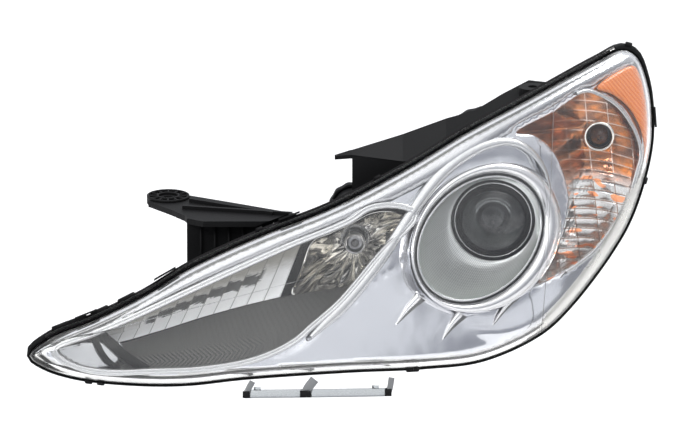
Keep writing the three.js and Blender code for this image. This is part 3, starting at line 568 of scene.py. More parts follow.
def facet_painted_reflections(tree, coord, tone, height):
    """Painted amber reflections, glints and highlights on the facets: UV holds the facet column and row."""
    uv = split_uv(tree, coord)
    row = maths(tree, "FRACT", uv.outputs[1])
    column = maths(tree, "FRACT", uv.outputs[0])
    edge = ramp(tree, row, 0.07, 0.13, 1.0, 0.0)
    side = ramp(tree, column, 0.03, 0.06, 1.0, 0.0)
    lines = maths(tree, "MAXIMUM", edge, side)
    spot = noise(tree, coord, "UV", 1.3, 1.0)
    upper = ramp(tree, uv.outputs[1], 10.8, 12.4)
    # Lower rows: painted amber-brown reflection along the facet edges.
    lower = blend_colour(tree, times(tree, lines, 0.8), tone, (0.2, 0.1, 0.05))
    # Upper rows: patches of painted amber reflection, with painted highlights along the facet edges.
    painted_amber_mask = ramp(tree, spot, 0.36, 0.66)
    painted_amber = blend_colour(tree, painted_amber_mask, (0.24, 0.1, 0.05), (0.72, 0.24, 0.05))
    painted_amber = blend_colour(tree, times(tree, lines, 0.7), painted_amber, (0.8, 0.74, 0.7))
    # Painted amber glints scattered over the lower rows.
    painted_glint = ramp(tree, spot, 0.6, 0.64, 0.0, 0.75)
    lower = blend_colour(tree, painted_glint, lower, (0.75, 0.25, 0.06))
    return blend_colour(tree, times(tree, upper, 0.92), lower, painted_amber), height


def flute_painted_reflections(tree, coord, tone, height):
    """Painted reflections in the flutes: pale below, ragged dark patches half-way up, warm grey above, darker
    at each flute's edge.
    """
    uv = split_uv(tree, coord)
    cell = maths(tree, "FRACT", times(tree, uv.outputs[0], FLUTE_COUNT))
    ragged = noise(tree, coord, "UV", 30.0, 3.0)
    level = maths(tree, "MULTIPLY_ADD", maths(tree, "SUBTRACT", ragged, 0.5), 0.22, uv.outputs[1])
    level = maths(tree, "MULTIPLY_ADD", maths(tree, "SUBTRACT", cell, 0.5), 0.1, level)
    above = ramp(tree, level, 0.44, 0.46)
    below = ramp(tree, level, 0.66, 0.7, 1.0, 0.0)
    start = ramp(tree, uv.outputs[0], 0.27, 0.29)
    stop = ramp(tree, uv.outputs[0], 0.84, 0.86, 1.0, 0.0)
    # The ragged dark patches: painted reflection of the dark shelf.
    patch = times(tree, times(tree, above, below), times(tree, start, stop))
    top = ramp(tree, level, 0.5, 0.8)
    hue = blend_colour(tree, times(tree, top, 0.85), tone, (0.34, 0.32, 0.27))
    hue = blend_colour(tree, times(tree, patch, 0.95), hue, (0.012, 0.012, 0.011))
    # A darker painted reflection along each flute's edge.
    bevel_painted_reflection = ramp(tree, cell, 0.03, 0.08, 1.0, 0.0)
    return blend_colour(tree, times(tree, bevel_painted_reflection, 0.8), hue, (0.16, 0.15, 0.13)), height


def marker_streaks(tree, coord, tone, height):
    """Fine diagonal ribs inside the marker, in lighter amber bands."""
    ribs = node(tree, "ShaderNodeTexWave", {"Vector": coord.outputs["Object"], "Scale": 95.0,
                                            "Distortion": 1.5},
                wave_type="BANDS", bands_direction="DIAGONAL")
    hue = blend_colour(tree, times(tree, ribs.outputs["Fac"], 0.5), tone, (0.85, 0.33, 0.08))
    return hue, ribs.outputs["Fac"]


def grain_pattern(tree, coord, tone, height):
    """The pitted grain of moulded black plastic."""
    pits = node(tree, "ShaderNodeTexVoronoi", {"Vector": coord.outputs["Object"], "Scale": 700.0})
    return tone, maths(tree, "ADD", times(tree, pits.outputs["Distance"], 0.8), height)


def lens_rings(tree, coord, tone, height):
    """Faint moulding rings on the projector lens: UV.y runs from its middle to its edge."""
    uv = split_uv(tree, coord)
    ring = maths(tree, "SINE", times(tree, uv.outputs[1], 60.0))
    return tone, ring


BLACK = surface("black_plastic", (0.0095, 0.0095, 0.01), 0.5, vary=0.25, bump=0.25, pattern_and_painted_light=grain_pattern,
                Specular_IOR_Level=0.07)
RUBBER = surface("soft_rubber", (0.03, 0.03, 0.03), 0.7, vary=0.2, bump=0.2)
RING_CHROME = surface("ring_chrome", (0.84, 0.835, 0.84), 0.2, 1.0, vary=0.05, bump=0.02)
VOID = surface("shadow_black", (0.006, 0.006, 0.006), 0.5, vary=0.3, bump=0.1, Specular_IOR_Level=0.15)
MATT = surface("matt_dark_plastic", (0.022, 0.023, 0.024), 0.5, vary=0.2, bump=0.2)
GREY = surface("grey_plastic", (0.17, 0.175, 0.18), 0.5, vary=0.12, bump=0.2, pattern_and_painted_light=grain_pattern)
CHROME = surface("chrome_bezel", (0.8, 0.81, 0.84), 0.12, 1.0, vary=0.06, bump=0.004, patch=11.0, swell=7.0)
SATIN = surface("satin_silver", (0.6, 0.605, 0.61), 0.26, 0.9, vary=0.05, bump=0.05)
MIRROR = surface("mirror_metal", (0.86, 0.84, 0.79), 0.07, 1.0, vary=0.07, bump=0.015, patch=40.0)
FACETS = surface("facet_mirror", (0.47, 0.475, 0.475), 0.16, 0.92, vary=0.05, bump=0.02, pattern_and_painted_light=facet_painted_reflections)
SHROUD_METAL = surface("dark_chrome", (0.93, 0.95, 0.94), 0.3, 0.45, vary=0.06, bump=0.3, relief=0.0004,
                       pattern_and_painted_light=shroud_pattern)
DARK = surface("dark_metal", (0.2, 0.2, 0.2), 0.35, 0.9, vary=0.15, bump=0.05)
SHELF = surface("shelf_grey", (0.1, 0.1, 0.098), 0.42, 0.3, vary=0.1, bump=0.4, relief=0.0005,
                pattern_and_painted_light=shelf_ribs_and_painted_highlights)
STRIP = surface("strip_silver", (0.5, 0.505, 0.52), 0.2, 1.0, vary=0.08, bump=0.02, patch=14.0)
# Not metallic: the flutes' mirror look is all painted reflection.
FLUTES = surface("flute_mirror", (0.98, 0.98, 0.96), 0.3, 0.0, vary=0.05, bump=0.03, pattern_and_painted_light=flute_painted_reflections)
STEEL = surface("steel_parts", (0.55, 0.55, 0.56), 0.3, 1.0, vary=0.08, bump=0.08)
CAST = surface("die_cast", (0.5, 0.51, 0.52), 0.4, 1.0, vary=0.1, bump=0.3)
CLEAR = see_through("clear_polycarbonate", (0.985, 0.99, 0.995), 0.015, 1.5)
FROSTED = see_through("lens_side_wall", (0.7, 0.69, 0.66), 0.3, 1.3)
TINTED = see_through("bracket_clear", (0.42, 0.44, 0.45), 0.12, 1.45)
GLASS = see_through("optic_glass", (0.55, 0.57, 0.58), 0.03, 1.5, pattern_and_painted_light=lens_rings)
BULB_GLASS = see_through("bulb_glass", (0.96, 0.97, 0.97), 0.02, 1.45)
AMBER_GLASS = see_through("amber_bulb", (0.95, 0.45, 0.12), 0.06, 1.45, shadow=(0.95, 0.5, 0.2))
AMBER = surface("amber_lens", (0.68, 0.15, 0.012), 0.16, 0.0, vary=0.08, bump=0.25, relief=0.0005,
                pattern_and_painted_light=marker_streaks, **{"Coat_Weight": 0.4})


# ---------------------------------------------------------------- outer lens and its rim
lens_line = smooth(LENS_LINE, 260)
RIM_OUT, RIM_FLARE = 2.4, 4.4  # how far the housing's rim stands out, and how much more where it faces up


def rim_flare():
    return lambda up: -(RIM_OUT + RIM_FLARE * np.maximum(0, up))


TIP_X, TIP_EASE, TIP_INSET = -390, 45, 4


def rim_ring(outline, inset=0.0, shrink=0.0, depth=0.0, rear=0.0):
    """A ring round the lamp. A deep inset eases off at the inboard tip, so that it doesn't fold there."""
    ease = np.clip((outline[:, 0] - TIP_X) / TIP_EASE, 0, 1)
    p = inward(outline, np.minimum(inset, TIP_INSET + (inset - TIP_INSET) * ease))
    p = p + (np.array(CENTRE) - p) * shrink
    return place(p[:, 0], skin(p[:, 0], p[:, 1]) + depth + rear * housing_depth(p[:, 0]), p[:, 1])


def outer_lens():
    front = [(11, s, 0) for s in (0.998, 0.9, 0.75, 0.6, 0.45, 0.3, 0.15, 0)]
    front += [(8.5, 0, 0.25), (6.5, 0, 0.6), (5, 0, 1.05), (3.4, 0, 1.9), (2.2, 0, 3), (1.2, 0, 4.6),
              (0.6, 0, 6.6)]
    front += [(0.25, 0, 9), (-0.1, 0, 14), (-0.35, 0, 19), (-0.5, 0, 24)]
    back = [(2.2, 0, 24), (2.5, 0, 18), (3, 0, 10.5), (3.7, 0, 8), (5, 0, 6), (6.8, 0, 4.6), (9, 0, 3.6)]
    back += [(11, s, 3) for s in (0, 0.15, 0.3, 0.45, 0.6, 0.75, 0.9, 0.998)]
    rings = [rim_ring(lens_line, i, s, d) for i, s, d in front + back]
    lens = loft("outer_lens_clear", rings, CLEAR, nodes=["outer_lens"])
    lens.data.materials.append(FROSTED)
    cols = len(lens_line)
    faces_out = np.clip((normals(lens_line)[:, 0] - 0.4) / 0.3, 0, 1)
    outboard = faces_out * np.clip((66 - lens_line[:, 1]) / 40, 0, 1)
    last_face, wall = 7, len(front) - 4  # the last ring of the lens's face and the first of its side wall
    start = np.round(wall - outboard * (wall - last_face))
    for r in range(last_face, len(front) + 2):
        for c, poly in enumerate(lens.data.polygons[r * cols : (r + 1) * cols]):
            poly.material_index = int(r >= start[c])
    return lens


def lens_seal():
    near, far = 24.4, 27
    rings = [rim_ring(lens_line, i, 0, d) for i, d in
             ((-0.5, near), (-0.5, far), (2.4, far), (2.4, near))]
    loft("lens_seal_bead", rings, RUBBER, closed=True, slot="rim_seal", nodes=["lens_seal"])


REAR = [(3.5, 0, 34, 0.1), (4.6, 0.02, 34, 0.26), (6, 0.05, 34, 0.42), (6, 0.09, 34, 0.6),
        (6, 0.15, 34, 0.74), (6, 0.23, 34, 0.85), (6, 0.32, 34, 0.93), (6, 0.45, 34, 0.98), (6, 0.6, 34, 1),
        (6, 0.8, 34, 1), (6, 0.998, 34, 1)]


def housing():
    def flared(depth):
        p = inward(lens_line, rim_flare())
        return on_skin(p[:, 0], p[:, 1], depth)

    inner = [rim_ring(lens_line, i + 3, s, d - 3, r) for i, s, d, r in reversed(REAR)]
    channel = [rim_ring(lens_line, i, 0, d) for i, d in
               ((5.5, 31), (5.5, 16.6), (5.1, 16), (3.9, 16), (3.5, 16.6), (3.5, 27.4), (-1.1, 27.4),
                (-1.1, 15))]
    outer = [flared(15), flared(15.4), flared(22), flared(29.6), flared(30)]
    outer += [rim_ring(lens_line, *r) for r in REAR]
    loft("housing_shell", inner + channel + outer, BLACK, nodes=["housing"])


def neck(name, x, z, near, far, r, ribs=0):
    wall = 3
    profile = rounded([(r - wall, near), (r, near), (r, far), (r - wall, far)], 0.5, closed=True)
    lathe(name, profile, x, z, BLACK)
    for i in range(ribs):
        a = 2 * math.pi * (i + 0.5) / ribs
        fin(f"{name}_rib_{i + 1}", x, z, a, r - 0.5, r + 4, near + 6, far - 9, 1.6)


def fin(name, x, z, angle, inner, outer, near, far, wide):
    """A flat rib that stands out from a neck and tapers towards the rear."""
    c, s = math.cos(angle), math.sin(angle)
    outline = [(inner, near), (outer, near), (outer, far - 8), (inner + 0.4, far), (inner, far)]
    verts = []
    for side in (-wide / 2, wide / 2):
        for r, y in outline:
            verts.append(car(x + r * c - side * s, y, z + r * s + side * c))
    n = len(outline)
    faces = [tuple(range(n)), tuple(range(2 * n - 1, n - 1, -1))]
    faces += [(i, (i + 1) % n, (i + 1) % n + n, i + n) for i in range(n)]
    piece(name, verts, faces, BLACK)


outer_lens()
lens_seal()
housing()
neck("low_neck", 0, OPTICS_Z, 300, LOW_NECK_END, LOW_NECK_R, 10)
neck("high_neck", HIGH_X, OPTICS_Z, 190, HIGH_NECK_END, HIGH_NECK_R, 6)
neck("turn_neck", *TURN_AT, 345, 392, 15, 6)
neck("marker_neck", *MARKER_AT, 380, 412, 12)
neck("vent_neck", *VENT_AT, 104, 126, 7)
neck("aim_neck", -10, OPTICS_Z - 68, 322, 358, 10)


RIB_HALF, RIB_ROOT, RIB_CREST = 0.9, 1.0, 3.2  # half the thickness, how deep it starts, how far it stands out
RIB_EDGE_GAP = 14  # a rib stops this far inside the lamp's outline


def back_ribs():
    """Stiffening ribs over the back of the housing, each a thin wall that follows the shell."""
    field = inward(lens_line, RIB_EDGE_GAP)
    for k, x in enumerate((-330, -290, -250, -165, -85, -62, 62, 82)):
        line = []
        for h in np.linspace(-112, 150, 90):
            p = np.array([[x, h]])
            if inside(p, field)[0]:
                line.append((x, h, shell_depth(x, h, distance(p, lens_line)[0][0])))
        if len(line) < 4:
            continue
        t = np.array(line)
        s = skin(t[:, 0], t[:, 1]) + t[:, 2]
        verts = []
        for dx in (-RIB_HALF, RIB_HALF):
            verts += list(place(t[:, 0] + dx, s - RIB_ROOT, t[:, 1]))
            verts += list(place(t[:, 0] + dx, s + RIB_CREST, t[:, 1]))
        n = len(t)
        faces = []
        for i in range(n - 1):
            a, b, c, d = i, i + n, i + 2 * n, i + 3 * n
            faces += [(a, a + 1, b + 1, b), (c + 1, c, d, d + 1), (b, b + 1, d + 1, d), (a + 1, a, c, c + 1)]
        faces += [(0, n, 3 * n, 2 * n), (n - 1, 3 * n - 1, 4 * n - 1, 2 * n - 1)]
        piece(f"housing_rib_{k + 1}", verts, faces, BLACK)


def shell_depth(x, h, edge):
    """How far behind the skin the outside of the housing's back lies, this far in from its edge."""
    reach = np.linalg.norm(np.array([x, h]) - np.array(CENTRE))
    share = min(0.97, max(0.0, (edge - 6) / max(reach + edge, 1)))
    rear = np.interp(share, [r[1] for r in REAR], [r[3] for r in REAR])
    return 34 + rear * housing_depth(x)


back_ribs()

# ---------------------------------------------------------------- trim behind the lens
high_window = smooth(HIGH_WINDOW, 220)
turn_window = smooth(TURN_WINDOW, 220)
marker_line = smooth(MARKER_LINE, 120)
marker_hole = smooth(MARKER_OPENING, 60)
TRIM_INSET = 4.6
trim_edge = inward(lens_line, TRIM_INSET)
SEAM = [(-141, -91), (-112, -58), (-90, -40), (-76, -29)]
UNDER = [(-70, -60), (-40, -78), (0, -92), (36, -84), (60, -62)]
crease = smooth(SWOOSH, 90, False)
seam = smooth(SEAM, 24, False)
under = smooth(UNDER, 40, False)


BEZEL_DEPTH = 12.4  # how far the bezel's plain face lies behind the skin


def bump_at(gap, width):
    return np.exp(-((gap / width) ** 2))


def bezel_depth(p):
    """The bezel's relief: a raised swoosh, a valley inboard of it, and a shallow dish round the projector."""
    swoosh, along = distance(p, crease, False)
    fade = np.clip(along / 30, 0.2, 1) * np.clip((430 - along) / 60, 0, 1)
    line = distance(p, seam, False)[0]
    foot = distance(p, under, False)[0]
    window = distance(p, high_window)[0]
    ring = distance(p, ellipse(**RING))[0]
    rim = distance(p, lens_line)[0]
    depth = BEZEL_DEPTH - 1.0 * bump_at(swoosh, 9) * fade
    depth += 3.4 * bump_at(ring - 3, 9)
    depth += 1.5 * bump_at(window - 4, 6) * (p[:, 0] < -150)
    depth += 0.7 * bump_at(line, 0.9)
    depth -= 2.6 * bump_at(foot, 6)
    depth += 1.2 * bump_at(rim - TRIM_INSET, 2.5)
    return depth


relief_panel("bezel_skin", trim_edge, [high_window, ellipse(**SHROUD, grow=3), turn_window, marker_hole],
             bezel_depth, CHROME, spacing=4.2, thick=1.6, seams=[crease[4:-4], seam], nodes=["bezel"],
             angle=50)


def swoosh():
    """A raised satin blade, wide at its foot and over the projector, that narrows to a point."""
    path = smooth(SWOOSH, 160, False)
    n = normals(path, False)
    rings = []
    for i, (p, q) in enumerate(zip(path, n)):
        share = i / (len(path) - 1)
        bulge = 1.6 * math.exp(-(((share - 0.62) / 0.14) ** 2))
        wide = 0.5 + 5.2 * (1 - share) ** 0.5 * min(1, 0.35 + share * 7) + bulge
        wide *= min(1.0, (1 - share) * 7)
        ring = []
        for a, b in ((-1, 11.6), (-0.92, 9.4), (-0.6, 8.0), (-0.1, 7.0), (0.35, 6.7), (0.8, 7.6), (1, 9.6),
                     (1.02, 11.6)):
            c = p + q * wide * a
            ring.append(on_skin(c[0], c[1], b))
        rings.append(ring)
    loft("bezel_swoosh", rings, SATIN, angle=40)


swoosh()

BAND = [(-0.2, -4.6), (0.5, -5.3), (1.5, -5.5), (2.0, -4.4), (2.6, -4.4), (3.0, -5.2), (4.3, -5.0),
        (5.1, -4.2), (5.2, -2.6), (-0.2, 1.0)]
ribbon("window_band", high_window, BAND, SATIN, base=TRIM_BASE, nodes=["bezel_band"])
GROOVE = [(-0.6, -4.4), (-0.1, -4.7), (-0.1, 4), (-0.6, 4)]
ribbon("window_inner_line", high_window, GROOVE, DARK, base=TRIM_BASE)


def upper_strip():
    outline = smooth(STRIP_LINE, 200)
    rooms = [inward(high_window, -6), inward(turn_window, -4.4), inward(marker_line, -0.8)]
    spine = smooth([(-330, -86), (-255, -46), (-175, -10), (-75, 35), (20, 91), (85, 128), (124, 147)], 90,
                   False)

    def depth(p):
        gap = distance(p, spine, False)[0]
        edge = distance(p, outline)[0]
        return 9.6 - 2.0 * bump_at(gap, 4.5) + 1.6 * bump_at(edge, 1.6)

    relief_panel("upper_strip_skin", outline, rooms, depth, STRIP, spacing=3.6, thick=1.6,
                 seams=[spine[2:-2]], nodes=["upper_strip"], angle=50)


upper_strip()


def turn_ring():
    shadow = np.array([(-20, -110), (58, -60), (70, 0), (72, 90), (74, 122), (-20, 140)], float)
    out = ~inside(turn_window, shadow)
    start = next(i for i in range(len(out)) if out[i] and not out[i - 1])
    order = [(start + i) % len(out) for i in range(len(out))]
    line = turn_window[[i for i in order if out[i]]]
    side = 1 if np.sum(normals(line, False)[5] * normals(turn_window)[order[5]]) > 0 else -1
    if side < 0:
        line = line[::-1]
    shape = [(-0.3, -4.6), (0.6, -5.6), (2.2, -5.6), (3.2, -4.6), (3.4, -2), (-0.3, 1)]
    ribbon("turn_arc", line, shape, SATIN, closed=False, base=TRIM_BASE, nodes=["turn_ring"])


turn_ring()


def marker():
    def depth(p):
        edge = distance(p, marker_line)[0]
        return 7.4 + 1.4 * bump_at(edge, 1.5)

    relief_panel("side_marker_amber", marker_line, [], depth, AMBER, spacing=2.6, thick=1.6,
                 nodes=["side_marker_lens"], angle=50)


marker()


def projector_ring():
    inner, outer = ellipse(**SHROUD, grow=3, count=200), ellipse(**RING, count=200)
    rings = []
    for t, depth in ((1.0, 12.5), (0.93, 9.6), (0.8, 7.0), (0.62, 5.6), (0.45, 5.4), (0.3, 6.2), (0.14, 8.4),
                     (0.0, 12), (0.0, 14), (1.0, 14)):
        p = inner + (outer - inner) * t
        rings.append(on_skin(p[:, 0], p[:, 1], depth))
    loft("projector_ring_chrome", rings, RING_CHROME, closed=True, nodes=["projector_ring"])
    lip = ellipse(**SHROUD, count=200)
    ribbon("shroud_lip", lip, [(-0.4, -0.9), (0.5, -1.3), (1.4, -0.9), (1.4, 1.5), (-0.4, 1.5)], SATIN,
           base=13.6)
    gap = ellipse(**SHROUD, count=200, grow=2.2)
    ribbon("shroud_shadow_gap", gap, [(-1.2, 0), (1.2, 0), (1.2, 3), (-1.2, 3)], RUBBER, base=15.2,
           slot="black_plastic")


projector_ring()


def fangs():
    """Three tapered blades below the projector's ring, each with a dark sliver of painted shadow beside it.
    """
    blades = (((-85.4, -87), (-65, -61), 4.6), ((-45, -99.5), (-29, -76), 4.4), ((-1.5, -88), (20, -60), 3.0))
    for k, (tip, root, half) in enumerate(blades):
        tip, root = np.array(tip, float), np.array(root, float)
        d = (root - tip) / np.linalg.norm(root - tip)
        n = np.array([-d[1], d[0]])
        rings = []
        for t in np.linspace(0, 1, 14):
            c = tip + (root - tip) * t + n * 1.2 * math.sin(math.pi * t)
            w = 0.25 + half * t**0.8
            lift = 0.6 + 3.6 * t**0.9
            ring = []
            for a, b in ((-1, 1.3), (-0.95, 0.1), (-0.5, -0.75), (-0.1, -1), (0.3, -0.8), (0.9, 0.2),
                         (1, 1.3), (0, 1.6)):
                q = c + n * w * a
                ring.append(place(q[0], skin(q[0], q[1]) + 12.4 + lift * b, q[1]))
            rings.append(ring)
        loft(f"bezel_blade_{k + 1}", rings, RING_CHROME, angle=28)
        # A dark sliver beside each blade: painted shadow.
        shadow = []
        for t in np.linspace(0.08, 1, 14):
            w = 0.2 + half * 0.5 * t**0.8
            c = tip + (root - tip) * t + n * (1.2 * math.sin(math.pi * t) - half * t**0.8)
            ring = []
            for a, b in ((-1, 0), (-0.6, -0.5), (0.5, -0.6), (1, 0), (1, 1), (-1, 1)):
                q = c + n * w * a
                ring.append(place(q[0], skin(q[0], q[1]) + 12.1 + b, q[1]))
            shadow.append(ring)
        loft(f"blade_painted_shadow_{k + 1}", shadow, DARK, angle=28)


fangs()


# ---------------------------------------------------------------- bowls behind the windows
def bowl_grid(outline, front, hole, shares, grow=0.0, facet=None):
    """Rings from an outline on the skin back to a round hole (x, y, z, r) that faces the rear."""
    hx, hy, hz, hr = hole
    hole_h, hole_s = to_drawing(hy, hz)
    grown = inward(outline, -grow)
    turn = winding(outline)
    steps = turn * 2 * np.pi * np.arange(len(outline)) / len(outline)
    off = np.arctan2(grown[:, 1] - hole_h, grown[:, 0] - hx) - steps
    a = math.atan2(np.sin(off).sum(), np.cos(off).sum()) + steps
    r = hr + grow
    end = np.stack([hx + r * np.cos(a), hole_h + r * np.sin(a) * LEAN_COS], -1)
    end_s = hole_s - r * np.sin(a) * LEAN_SIN
    start_s = skin(grown[:, 0], grown[:, 1]) + (front(grown[:, 1]) if callable(front) else front)
    rings, uvs = [], []
    for share in shares:
        p = grown + (end - grown) * share
        s = start_s + (end_s - start_s) * (1 - (1 - share) ** 2) + grow
        if facet is not None:
            s = s + facet(p, share)
        rings.append(place(p[:, 0], s, p[:, 1]))
        uvs.append(np.stack([np.arange(len(p)) / len(p), np.full(len(p), share)], -1))
    return rings, uvs


def bowl(name, outline, front, hole, material, wall=1.6, steps=26, facet=None, uv_of=None, **more):
    shares = np.linspace(0, 1, steps)
    inner, uv_in = bowl_grid(outline, front, hole, shares, 0.0, facet)
    outer, uv_out = bowl_grid(outline, front, hole, shares[::-1], wall + 0.6)
    rings = inner + outer
    uv = np.array(uv_in + uv_out)
    if uv_of is not None:
        uv = uv_of(np.array(rings), uv)
    return loft(name, rings, material, closed=True, uv=uv, **more)


bowl("projector_shroud_bowl", ellipse(**SHROUD, count=240), 14.5, (0, 213, OPTICS_Z, 36.5), SHROUD_METAL,
     wall=1.4, nodes=["projector_shroud"])

TURN_HOLE = (TURN_AT[0], 325, TURN_AT[1], 11)
ROW, COLUMN = 8.6, 19.0


def turn_cell(p):
    """Facet column and row numbers in the turn signal's reflector, as fractions."""
    x, h = p[:, 0], p[:, 1]
    row = (h + 56 + 0.0035 * (x - 92) ** 2 + 0.12 * (x - 92)) / ROW
    column = (x - 14 + 0.1 * (h - 20)) / COLUMN
    return column, row


def turn_facet(p, share):
    column, row = turn_cell(p)
    cr, cc = row % 1, column % 1
    low = np.clip((70 - p[:, 1]) / 24, 0.15, 1)
    pillow = (1 - (2 * cr - 1) ** 2) * 0.8 + (1 - (2 * cc - 1) ** 2) * 1.0 + cr * 1.2
    fade = min(1.0, share * 5) * min(1.0, (1 - share) * 6)
    return pillow * low * fade


def turn_uv(rings, uv):
    row_frame = rings * 1000 - DATUM
    y, z = row_frame[..., 1], row_frame[..., 2]
    h = y * LEAN_SIN + z * LEAN_COS
    flat = np.stack([row_frame[..., 0].ravel(), h.ravel()], -1)
    column, row = turn_cell(flat)
    return np.stack([column, row], -1).reshape(rings.shape[0], rings.shape[1], 2)


bowl("turn_reflector_bowl", smooth(TURN_WINDOW, 420), 14.5, TURN_HOLE, FACETS, wall=1.2, steps=70,
     facet=turn_facet, uv_of=turn_uv, nodes=["turn_reflector"], angle=26)


def bowl_flutes(p, share):
    """Radial steps of the moving high-beam bowl."""
    a = np.arctan2(p[:, 1] + 17, p[:, 0] + 120)
    step = (a / (2 * math.pi) * 16) % 1
    return (1 - (2 * step - 1) ** 2) * 1.8 * min(1.0, share * 6) * min(1.0, (1 - share) * 4)


def bowl_front(h):
    """The moving bowl stands behind the bezel, and its lower edge behind the shelf."""
    return 21.5 + 27 * np.clip((-32 - h) / 22, 0, 1)


bowl("high_beam_bowl", smooth(BOWL_LINE, 240), bowl_front, (HIGH_X, 160, OPTICS_Z, 11), MIRROR, wall=0.8,
     steps=30, facet=bowl_flutes, body=AIM, nodes=["high_reflector"], angle=26)


def flutes():
    """Twelve slanting mirror flutes, each hollow across and stepped from its neighbour."""
    count, per = FLUTE_COUNT, 14
    cols, rows = count * per + 1, 40
    top, foot = smooth(FLUTES_TOP, 80, False), smooth(FLUTES_FOOT, 80, False)
    grid, back, uv = [], [], []
    for j in range(rows):
        v = j / (rows - 1)
        line = []
        for i in range(cols):
            u = i / (cols - 1)
            lean = np.clip(u + 0.03 * (v - 0.5) * 4 * u * (1 - u), 0, 1)
            k = lean * 79
            a, b = top[int(k)], top[min(79, int(k) + 1)]
            c, d = foot[int(k)], foot[min(79, int(k) + 1)]
            f = k - int(k)
            p = (c + (d - c) * f) * (1 - v) + (a + (b - a) * f) * v
            cell = (u * count) % 1
            hollow = 1 - (2 * cell - 1) ** 2
            depth = 41 - 25 * v**1.6 + 1.4 * hollow * (1 - abs(2 * v - 1) ** 4) - 1.2 * cell
            line.append((p[0], skin(p[0], p[1]) + depth, p[1]))
            uv.append((u, v))
        g = np.array(line)
        grid.append(place(g[:, 0], g[:, 1], g[:, 2]))
        back.append(place(g[:, 0], g[:, 1] + 3.0, g[:, 2]))
    slab("high_beam_flutes", grid, back, FLUTES, uv, nodes=["flute_panel"], angle=24)


flutes()

SHELF_FRONT = [(-366, -113), (-350, -120.5), (-325, -125), (-291, -125.5), (-252, -124), (-208, -116.5),
               (-176, -102), (-154, -84), (-118, -48)]
SHELF_BACK = [(-350, -104.5), (-322, -102), (-291, -93), (-252, -80.5), (-214, -69.5), (-190, -63.5),
              (-160, -58), (-140, -55), (-118, -50)]


def shelf():
    cols, rows = 180, 24
    near, far = smooth(SHELF_FRONT, cols, False), smooth(SHELF_BACK, cols, False)
    grid, under_side, uv = [], [], []
    for j in range(rows):
        v = j / (rows - 1)
        p = near + (far - near) * v
        depth = 14.6 + 26 * v
        ridge = 0.35 * np.sin(np.arange(cols) * 1.9 + 14 * abs(v - 0.3))
        s = skin(p[:, 0], p[:, 1]) + depth + ridge
        grid.append(place(p[:, 0], s, p[:, 1]))
        under_side.append(place(p[:, 0], s + 2, p[:, 1] - 1.2))
        uv.append(np.stack([np.linspace(0, 1, cols), np.full(cols, v)], -1))
    slab("high_beam_shelf", grid, under_side, SHELF, uv, nodes=["high_beam_floor"])


shelf()


def cheek():
    """The pale inboard end of the high-beam chamber, with two black strips of painted shade for its curved
    grooves.
    """
    outline = smooth([(-378, -108), (-352, -99), (-330, -97), (-318, -103), (-322, -116), (-338, -124),
                      (-356, -122), (-372, -114)], 90)
    relief_panel("window_cheek", outline, [], lambda p: np.full(len(p), 14.9), SATIN, spacing=4, thick=1.2)
    # Two black strips standing on the cheek: painted shade where the grooves are.
    for k, line in enumerate((((-342, -94), (-338, -104), (-332, -114), (-321, -124)),
                              ((-337, -92), (-327, -101), (-315, -112), (-297, -124)))):
        path = smooth(line, 30, False)
        wide = 2.6 + 1.6 * k
        shape = [(-wide, -1.1), (wide, -1.1), (wide, 0.6), (-wide, 0.6)]
        ribbon(f"cheek_groove_painted_shade_{k + 1}", path, shape, VOID, closed=False, base=13.9)


cheek()


# ---------------------------------------------------------------- low beam projector
def projector():
    lens = [(0, 203), (4, 203.15), (8, 203.6), (12, 204.3), (16, 205.6), (20, 207.2), (24, 209.5),
            (27, 211.6), (29.5, 214), (31.3, 216.4), (32, 217.6), (32, 222), (0, 222)]
    profile = rounded(lens, 0.6)
    rings = lathe_rings(profile, 0, OPTICS_Z)
    uv = [np.stack([np.arange(TURNS) / TURNS, np.full(TURNS, r / 32)], -1) for r, _ in profile]
    flat = np.vstack([np.array(uv).reshape(-1, 2), [[0.5, 0], [0.5, 0]]])
    loft("projector_lens_glass", rings, GLASS, body=AIM, uv=flat, nodes=["projector_lens"])
    bright = [(32.5, 213.6), (33.2, 212.9), (34, 213.6), (34.2, 226), (37, 226.2), (37, 229), (29, 229),
              (29, 222.5), (32.5, 222.5)]
    lathe("lens_bright_ring", rounded(bright, 0.4, closed=True), 0, OPTICS_Z, SATIN, body=AIM,
          nodes=["lens_retainer"])
    # A black ring of painted shade round the lens's edge.
    shade_ring = [(27.8, 211.4), (29.5, 211.0), (32.4, 212.8), (32.4, 216.8), (29.0, 213.4)]
    lathe("lens_edge_painted_shade", shade_ring, 0, OPTICS_Z, VOID, body=AIM, slot="soft_rubber")
    barrel = [(29, 229.4), (34, 229.4), (38, 242), (43, 257.4), (44.6, 257.4), (44.6, 260.4), (40, 260.4),
              (35, 242), (31, 233)]
    lathe("projector_barrel", rounded(barrel, 0.5, closed=True), 0, OPTICS_Z, DARK, body=AIM,
          nodes=["projector_holder"])
    baffle = [(29, 229.6), (30.5, 229.2), (20, 236), (9, 240), (7.5, 240.2), (7.5, 239.2), (9, 238.6),
              (19, 235)]
    lathe("projector_baffle", rounded(baffle, 0.4, closed=True), 0, OPTICS_Z, MATT, body=AIM)
    cup = [(40, 260.8), (44.6, 260.8), (44.6, 263.8), (42.5, 263.8), (40, 280), (34, 300), (26, 318),
           (17, 332), (12, 332), (24, 316), (31.5, 299), (37.5, 280)]
    lathe("projector_cup", rounded(cup, 1.0, closed=True), 0, OPTICS_Z, CAST, body=AIM,
          nodes=["projector_bowl"])


projector()


